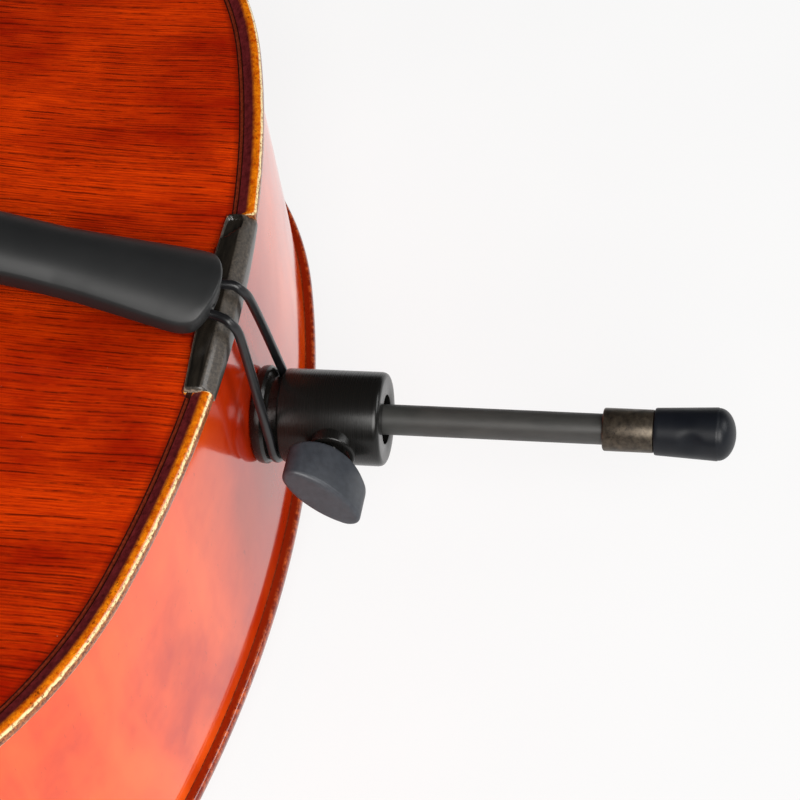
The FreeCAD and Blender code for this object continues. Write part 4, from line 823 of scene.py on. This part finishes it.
# ------------------------------------------------------------------ ribs
def rib_walls():
    """Six bent ribs: three bouts on each side."""
    edge = outline(2.0)
    bands = {"lower": (-1e3, LOWER_CORNER_Y), "c": (LOWER_CORNER_Y, UPPER_CORNER_Y),
             "upper": (UPPER_CORNER_Y, 1e3)}
    outer, inner = ring_offset(edge, OVERHANG), ring_offset(edge, OVERHANG + RIB_THICK)
    for bout, (y0, y1) in bands.items():
        for side, sign in (("bass", -1), ("treble", 1)):
            chosen = [i for i, (x, y) in enumerate(edge) if y0 - 2.5 <= y <= y1 + 2.5 and sign * x > -0.01]
            if side == "bass":
                start = max(range(len(chosen)), key=lambda k: (chosen[k] - chosen[k - 1]) % len(edge))
                chosen = chosen[start:] + chosen[:start]
            verts = []
            for ring, z in ((outer, -RIB_HEIGHT), (outer, 0.0), (inner, 0.0), (inner, -RIB_HEIGHT)):
                verts += [(sign * max(sign * ring[i][0], 0), ring[i][1], z) for i in chosen]
            n = len(chosen)
            faces = grid_faces(4, n)
            faces += [(j, j + 1, 3 * n + j + 1, 3 * n + j) for j in range(n - 1)]
            faces += [(0, n, 2 * n, 3 * n), (n - 1, 4 * n - 1, 3 * n - 1, 2 * n - 1)]
            piece(f"rib_{bout}_{side}", verts, faces, "body", [f"{bout}_rib_{side}"], MAT["rib"], angle=50)


rib_walls()
lines = inlay("belly_purfling_lines", "belly_purfling", 0.0, 1, MAT["purfling"])
cut(lines, [saddle_slot(SADDLE_FAR + 0.1)], Matrix())
inlay("back_purfling_lines", "back_purfling", -RIB_HEIGHT, -1, MAT["purfling"])


# ------------------------------------------------------------------ endpin
SOCKET_NEAR, SOCKET_FAR, SOCKET_R = -5.0, -38.9, 15.4
collar = [(50.0, 8.05), (50.0, 11.5), (3.5, 13.0), (3.5, 14.6), (3.2, 15.2), (2.4, 15.9), (1.2, 16.2),
          (0.0, 16.2), (-1.0, 15.6), (-1.45, 14.6), (-1.6, 13.2), (-1.9, 12.6), (-4.9, 12.6), (-4.9, 8.05)]
barrel = [(49.0, 5.1), (49.0, 8.0), (-4.95, 8.0), (SOCKET_NEAR, 13.6), (-5.2, 14.6), (-5.9, 15.3),
          (-6.6, SOCKET_R), (-37.0, SOCKET_R), (-37.9, 15.2), (-38.5, 14.8), (-38.85, 14.2),
          (SOCKET_FAR, 13.6), (SOCKET_FAR, 8.5), (-38.7, 8.1), (-30.0, 8.0), (-30.0, 5.1)]
ferrule = [(-109.6, 5.02), (-109.6, 6.5), (-109.9, 6.85), (-110.2, 6.95), (-125.4, 6.95), (-125.7, 6.85),
           (-125.8, 6.5), (-125.8, 5.02)]
for name, profile, body, node, look in (
        ("endpin_collar", collar, "body", "endpin_plug", "plug"),
        ("socket_barrel", barrel, "body", "endpin_socket", "socket"),
        ("ferrule_ring", ferrule, "endpin", "endpin_ferrule", "antique")):
    turned(name, profile, body, [node], MAT[look], lambda x, z, y: (x, y, ENDPIN_Z + z), 96, 30.0)


def rubber_foot():
    """Widening foot with a crisp edge round its dome and two shallow thumb hollows."""
    profile = [(-126.0, 4.1), (-126.0, 7.1), (-126.15, 7.45), (-126.6, 7.62)]
    profile += [(y, curve(y, [-146.2, -126.6], [8.6, 7.62])) for y in np.linspace(-127.5, -145.6, 28)]
    dome_y, dome_radius, dome_height = -146.3, 8.42, 5.5
    profile += [(-146.05, 8.58), (dome_y, dome_radius)]
    for k in range(1, 14):
        a = math.pi / 2 * k / 13
        profile.append((dome_y - dome_height * math.sin(a), dome_radius * math.cos(a)))
    segments = 96
    verts = []
    for y, r in profile:
        for a in np.linspace(0, 2 * math.pi, segments, endpoint=False):
            dent = 0.0
            for middle in (math.radians(152), math.radians(332)):
                around = math.atan2(math.sin(a - middle), math.cos(a - middle)) * r
                dent += 0.55 * math.exp(-((around / 3.2) ** 2 + ((y + 137.5) / 3.2) ** 2) ** 1.5)
            verts.append(((r - dent) * math.cos(a), y, ENDPIN_Z + (r - dent) * math.sin(a)))
    faces = grid_faces(len(profile), segments, True)
    faces.append(tuple(range(segments)))
    return piece("rubber_foot", verts, faces, "rubber_tip", ["rubber_tip"], MAT["rubber"], angle=35)


rubber_foot()

# thumbscrew axes: local z out along the screw, local x along the wing
THUMB_Y, THUMB_TILT, THUMB_TURN = -23.0, math.radians(7.0), math.radians(46.0)
OUT = Vector((-math.cos(THUMB_TILT), 0, math.sin(THUMB_TILT)))
WING = Vector((0, -math.cos(THUMB_TURN), -math.sin(THUMB_TURN)))
WING = (WING - OUT * WING.dot(OUT)).normalized()
FACE = OUT.cross(WING)


def thumb_point(x, y, z):
    """A point given in the thumbscrew's axes."""
    p = Vector((0, THUMB_Y, ENDPIN_Z)) + WING * x + FACE * y + OUT * z
    return (p.x, p.y, p.z)


boss = [(9.4, 8.2), (16.7, 8.2), (17.1, 8.0), (17.35, 7.6), (17.4, 6.6), (17.0, 6.1), (16.8, 4.4)]
threads = [(7.0, 3.6)] + [(7.3 + k * 0.625, 4.0 if k % 2 else 3.5) for k in range(26)] + [(23.6, 3.6)]
turned("screw_boss", boss, "body", ["screw_bush"], MAT["socket"], thumb_point, 64, 35.0)
turned("screw_stud", threads, "thumbscrew", ["thumbscrew_stud"], MAT["black_steel"], thumb_point, 64, 35.0)


def wing_knob():
    """Moulded wing: lens-shaped across, flat outer end, hollowed base and soft edges."""
    thick, tip, top, soft = 6.3, 2.4, 36.0, 1.4
    plan = []
    for side in (1, -1):
        for a in np.linspace(math.pi / 2, -math.pi / 2, 60)[:-1]:
            u = side * math.sin(a)
            close = math.sqrt(max(0.0, 1 - (max(abs(u) - 0.84, 0.0) / 0.16) ** 2))
            half = 16.0 if u > 0 else 14.6
            plan.append((half * u, side * (tip + (thick - tip) * (1 - abs(u) ** 2.2)) * close))
    steps = [0.0, 0.1, 0.3, 0.6, 0.9, 1.3]
    drops = [soft - math.sqrt(soft ** 2 - (soft - min(step, soft)) ** 2) for step in steps]

    def upper(x, y, inset):
        return top - curve(inset, steps, drops)

    def lower(x, y, inset):
        return 18.6 + 5.4 * min(abs(x) / 16.0, 1.0) ** 2.2 + curve(inset, steps, drops)

    place = Matrix.Translation(thumb_point(0, 0, 0)) @ Matrix((WING, FACE, OUT)).transposed().to_4x4()
    pattern = layout(softened(evened(np.array(plan), 0.6), 2), steps, [], 1.2)
    shell("wing_knob", "thumbscrew_knob", pattern, upper, lower, MAT["knob"], place, 40.0, "thumbscrew")


wing_knob()

# ------------------------------------------------------------------ tailpiece, saddle and tailgut
TAIL_LENGTH, TAIL_SHIFT, TAIL_Y, TAIL_Z = 236.0, -7.5, 8.0, 14.5
TAIL_TIP_Z, BRIDGE_Y = 103.0, 355.0
TAIL_RISE = math.atan2(TAIL_TIP_Z - TAIL_Z, BRIDGE_Y - TAIL_Y)
TAIL_SWING = math.atan2(TAIL_SHIFT, TAIL_LENGTH)
TAIL = (Matrix.Translation((TAIL_SHIFT, TAIL_Y, TAIL_Z)) @ Matrix.Rotation(TAIL_SWING, 4, "Z")
        @ Matrix.Rotation(TAIL_RISE, 4, "X"))


def tail_point(x, t, n):
    """A point across, along and out of the tailpiece."""
    p = TAIL @ Vector((x, t, n))
    return (p.x, p.y, p.z)


def tail_gut():
    """Black cord from two holes of the tailpiece over the saddle and down round the plug."""
    r, y = 14.25, -3.1
    inside_tail = [(26, -1.5), (8, -1.5), (-2.5, -1.4)]
    right = [tail_point(6.0, t, n) for t, n in inside_tail]
    right += [(-1.6, 0.7, 11.9), (-1.9, -1.2, 10.6), (-1.4, -2.6, 7.6), (0.2, -3.0, 2.0), (5.0, y, -16.0),
              (r - 2.4, y, -44.0), (r, y, ENDPIN_Z)]
    turns = np.linspace(-0.15, -math.pi + 0.15, 15)
    bight = [(r * math.cos(a), y, ENDPIN_Z + r * math.sin(a)) for a in turns]
    left = [tail_point(-6.0, t, n) for t, n in inside_tail]
    left += [(-15.0, 0.9, 11.9), (-15.9, -1.0, 10.7), (-16.0, -2.5, 7.8), (-15.9, -3.0, 2.0),
             (-15.2, y, -16.0), (-r - 0.1, y, -44.0), (-r, y, ENDPIN_Z)]
    verts, faces = tube_mesh(smooth_path(right + bight + left[::-1], 10), 1.55)
    piece("tailgut_loop", verts, faces, "body", ["tailgut"], MAT["cord"], angle=60)


tail_gut()

# half widths along the tailpiece, then (place, half width, rise) of its sections
TAIL_OUTLINE = [(14.0, 0.0), (15.2, 5.0), (14.7, 13.0), (13.2, 28.0), (12.0, 45.0), (12.3, 70.0),
                (16.5, 120.0), (24.0, 180.0), (30.0, 236.0)]
TAIL_SECTIONS = [(-10.0, 17.0, 8.0), (13.0, 15.7, 8.0), (45.0, 13.2, 8.2), (75.0, 13.6, 8.8),
                 (120.0, 17.6, 9.4), (180.0, 25.0, 9.5), (250.0, 33.0, 9.0)]
STRING_PITCH = 13.0
STRING_PLACES = [(k - 1.5) * STRING_PITCH for k in range(4)]


def sagitta(x, half, height):
    """Drop of a shallow arc below its crown at x."""
    radius = (half ** 2 + height ** 2) / (2 * height)
    return radius - math.sqrt(max(radius ** 2 - x * x, 0.0))


def tail_outline():
    """Plan of the tailpiece, anticlockwise, with slightly rounded corners."""
    side = [(p[0], p[1]) for p in smooth_path([(w, t, 0) for w, t in TAIL_OUTLINE], 60)]
    top = [(x, TAIL_LENGTH + 2.5 - sagitta(x, 30.0, 2.5)) for x in np.linspace(29.0, -29.0, 60)]
    low = [(x, -4.5 + sagitta(x, 14.0, 4.5)) for x in np.linspace(-13.5, 13.5, 57)]
    points = np.array(side[:-1] + top + [(-x, t) for x, t in side[:-1]][::-1] + low)
    return softened(evened(points, 0.7), 7)


def tail_surface(x, t):
    """Heights of the tailpiece's upper and lower face."""
    ts, halves, rises = zip(*TAIL_SECTIONS)
    half, rise = curve(t, ts, halves), curve(t, ts, rises)
    return rise - sagitta(x, half, rise - 0.5), -0.5 - sagitta(x, half, 3.0)


def tail_body():
    """Moulded shell with soft edges, string slots, lever pockets and screw holes."""
    steps = [0.0, 0.12, 0.3, 0.55, 0.85]
    drops = [0.9, 0.5, 0.25, 0.08, 0.0]
    rises = [0.7, 0.4, 0.2, 0.08, 0.0]

    def upper(x, t, inset):
        return tail_surface(x, t)[0] - curve(inset, steps, drops)

    def lower(x, t, inset):
        return tail_surface(x, t)[1] + curve(inset, steps, rises)

    pattern, end = layout(tail_outline(), steps, [], 2.2), TAIL_LENGTH
    obj = shell("tailpiece_body", "tailpiece", pattern, upper, lower, MAT["composite"], TAIL, 45.0)
    cut(obj, [(rectangle(x - 2.9, x + 2.9, end - 50.0, end - 14.0), -12.0, 2.0) for x in STRING_PLACES], TAIL)
    cut(obj, [(circle(x, end - 40.0, 1.85), -1.0, 20.0) for x in STRING_PLACES], TAIL)
    cut(obj, [(rectangle(x - 2.8, x + 2.8, end - 18.0, end + 6.0), -20.0, 20.0) for x in STRING_PLACES], TAIL)
    holes = [(circle(x, 1.5, 1.6), -30.0, 8.0) for x in (-6.0, 6.0)]
    cut(obj, holes, TAIL @ Matrix.Rotation(math.radians(90), 4, "X"))


def lug_blocks():
    """Small blocks under the wide end that carry the tuners' pins."""
    verts, faces = [], []
    sides = ((0, 3, 2, 1), (4, 5, 6, 7), (0, 1, 5, 4), (1, 2, 6, 5), (2, 3, 7, 6), (3, 0, 4, 7))
    for k in range(5):
        x, n = (k - 2) * STRING_PITCH, len(verts)
        plan = rectangle(x - 3.6, x + 3.6, TAIL_LENGTH - 10.6, TAIL_LENGTH - 5.4)
        verts += [tail_point(px, py, z) for z in (-5.2, 1.0) for px, py in plan]
        faces += [tuple(n + i for i in side) for side in sides]
    obj = piece("tuner_lugs", verts, faces, "body", [], MAT["composite"])
    bevel = obj.modifiers.new("soft_edges", "BEVEL")
    bevel.width = 0.5 * MM
    bevel.segments = 2
    apply_modifiers(obj)


tail_body()
lug_blocks()


def saddle_block():
    """Worn ebony saddle: crowned top, rough outer bevel and a hollow at its treble end."""
    def ramp(value, low, length):
        return min(max((value - low) / length, 0.0), 1.0)

    columns = 121
    verts, wear = [], []
    for x in np.linspace(-SADDLE_HALF, SADDLE_HALF, columns):
        near = END_RADIUS - math.sqrt(END_RADIUS ** 2 - (x + SADDLE_X) ** 2)
        ends = max(abs(x) - (SADDLE_HALF - 0.8), 0.0) / 0.8
        crown = 9.0 - 3.1 * (x / SADDLE_HALF) ** 2 - 0.7 * ends ** 2
        far = SADDLE_FAR - 0.05 - 1.6 * ramp(x, SADDLE_HALF - 3.0, 3.0) ** 2
        lip = max(3.0, crown - 3.3)
        # (distance in from the rim, height, wear) up the outer bevel, then (y, height, wear) over the top
        bevel = [(0.0, 0.0, 0.2), (0.0, lip - 1.0, 0.35), (0.25, lip - 0.3, 0.8), (0.9, lip + 0.35, 0.7),
                 (1.8, crown - 1.75, 0.55), (2.7, crown - 0.8, 0.6), (3.4, crown - 0.25, 0.7),
                 (4.2, crown - 0.02, 0.1), (5.2, crown, 0.0), (6.6, crown, 0.0)]
        over = [(8.6, crown - 0.1, 0.0), (9.5, crown - 0.2, 0.1), (far - 0.35, crown - 0.35, 0.85),
                (far, crown - 0.9, 1.0), (far, 0.0, 0.4)]
        profile = [(near + inset, z, w) for inset, z, w in bevel] + over
        for y, z, w in profile:
            hollow = ramp(x + 1.15 * (y - 4.0), 29.5, 1.5) * ramp(y, near + 3.2, 0.8)
            hollow *= ramp(far - y, 0.5, 0.6) * ramp(SADDLE_HALF - x, 1.0, 0.8)
            verts.append((x + SADDLE_X, y, z - 1.8 * hollow if z > 4.0 else z))
            wear.append(max(w, 0.9 * ends))
    rows = len(profile)
    faces = grid_faces(columns, rows, True)
    faces += [tuple(range(rows))[::-1], tuple(range((columns - 1) * rows, columns * rows))]
    piece("saddle_block", verts, faces, "body", ["saddle"], MAT["saddle"], angle=60, values=wear)


saddle_block()


def finish_cad_nodes():
    """Finishes for the CAD nodes that are shown as they are."""
    finish = {"bridge": "bridge", "fingerboard": "ebony", "nut": "ebony", "neck_and_scroll": "neck",
              "sound_post": "pale", "bass_bar": "pale", "lower_block": "pale", "upper_block": "pale",
              "corner_blocks": "pale", "belly_linings": "pale", "back_linings": "pale", "tuner_pins": "steel",
              "clamp_pad": "brass", "endpin_rod": "rod", "endpin_stop": "brass"}
    for string in "cgda":
        finish[f"peg_{string}"] = "ebony"
        finish[f"string_{string}"] = "steel"
        finish[f"string_ball_{string}"] = "brass"
        finish[f"tuner_lever_{string}"] = "black_steel"
        finish[f"tuner_screw_{string}"] = "steel"
        finish[f"tuner_knob_{string}"] = "black_steel"
    for node, key in finish.items():
        slots = NODES[node].material_slots
        for slot in slots:
            slot.material = MAT[key]
        if not slots:
            NODES[node].data.materials.append(MAT[key])


finish_cad_nodes()

# ------------------------------------------------------------------ floor, light and camera
FLOOR_HALF = 6.0
floor_mesh = bpy.data.meshes.new("floor")
corners = rectangle(-FLOOR_HALF, FLOOR_HALF, -FLOOR_HALF, FLOOR_HALF)
floor_mesh.from_pydata([(x, y, 0) for x, y in corners], [], [(0, 1, 2, 3)])
floor = bpy.data.objects.new("floor", floor_mesh)
floor.location.z = -0.0005
show(floor)
paper = Shade("pale_floor")
paper.colour(paper.fade(paper.noise(0.01, 2), 0.3, 0.7, (0.135, 0.135, 0.135), (0.145, 0.145, 0.145)))
paper.set(rough=0.9)
paper.bsdf.inputs["Emission Color"].default_value = (1.0, 1.0, 1.0, 1)
paper.bsdf.inputs["Emission Strength"].default_value = 0.80
floor_mesh.materials.append(paper.mat)

AIM = Vector((0.0, Y0 - 0.02, Z0 - 0.05))


def area_light(name, place, size, power, colour=(1, 1, 1)):
    """A square lamp that faces the endpin's end of the body."""
    data = bpy.data.lights.new(name, "AREA")
    data.shape = "SQUARE"
    data.size = size
    data.energy = power
    data.color = colour
    lamp = bpy.data.objects.new(name, data)
    lamp.location = place
    lamp.rotation_euler = (AIM - Vector(place)).to_track_quat("-Z", "Y").to_euler()
    show(lamp)


area_light("front", (0.5, Y0 - 2.3, 1.7), 1.4, 34)
area_light("overhead", (-1.8, Y0 - 0.9, 2.0), 1.6, 92, (1.0, 0.985, 0.96))
world = bpy.data.worlds.new("studio")
world.use_nodes = True
world.node_tree.nodes["Background"].inputs["Color"].default_value = (0.9, 0.93, 1.0, 1)
world.node_tree.nodes["Background"].inputs["Strength"].default_value = 0.012
bpy.context.scene.world = world
bpy.context.scene.view_settings.view_transform = "Standard"

# camera: direction to it from the endpin socket, its roll and its offset, in degrees and metres
CAM_AZ, CAM_EL, CAM_ROLL = math.radians(-73.33), math.radians(51.34), math.radians(-10.67)
CAM_PLACE = Vector((-473.7, -186.4, 573.8)) * MM + Vector((0, Y0, Z0))
level = math.cos(CAM_EL)
back_dir = Vector((math.sin(CAM_AZ) * level, -math.cos(CAM_AZ) * level, math.sin(CAM_EL)))
right0 = Vector((0, 0, 1)).cross(back_dir).normalized()
up0 = back_dir.cross(right0)
right_dir = math.cos(CAM_ROLL) * right0 + math.sin(CAM_ROLL) * up0
up_dir = -math.sin(CAM_ROLL) * right0 + math.cos(CAM_ROLL) * up0
camera_data = bpy.data.cameras.new("camera")
camera_data.lens = 110.8
camera_data.sensor_width = 36.0
camera_data.clip_end = 50.0
camera = bpy.data.objects.new("camera", camera_data)
axes = Matrix((right_dir, up_dir, back_dir)).transposed().to_4x4()
camera.matrix_world = Matrix.Translation(CAM_PLACE) @ axes
show(camera)
bpy.context.scene.camera = camera

bpy.context.view_layer.update()
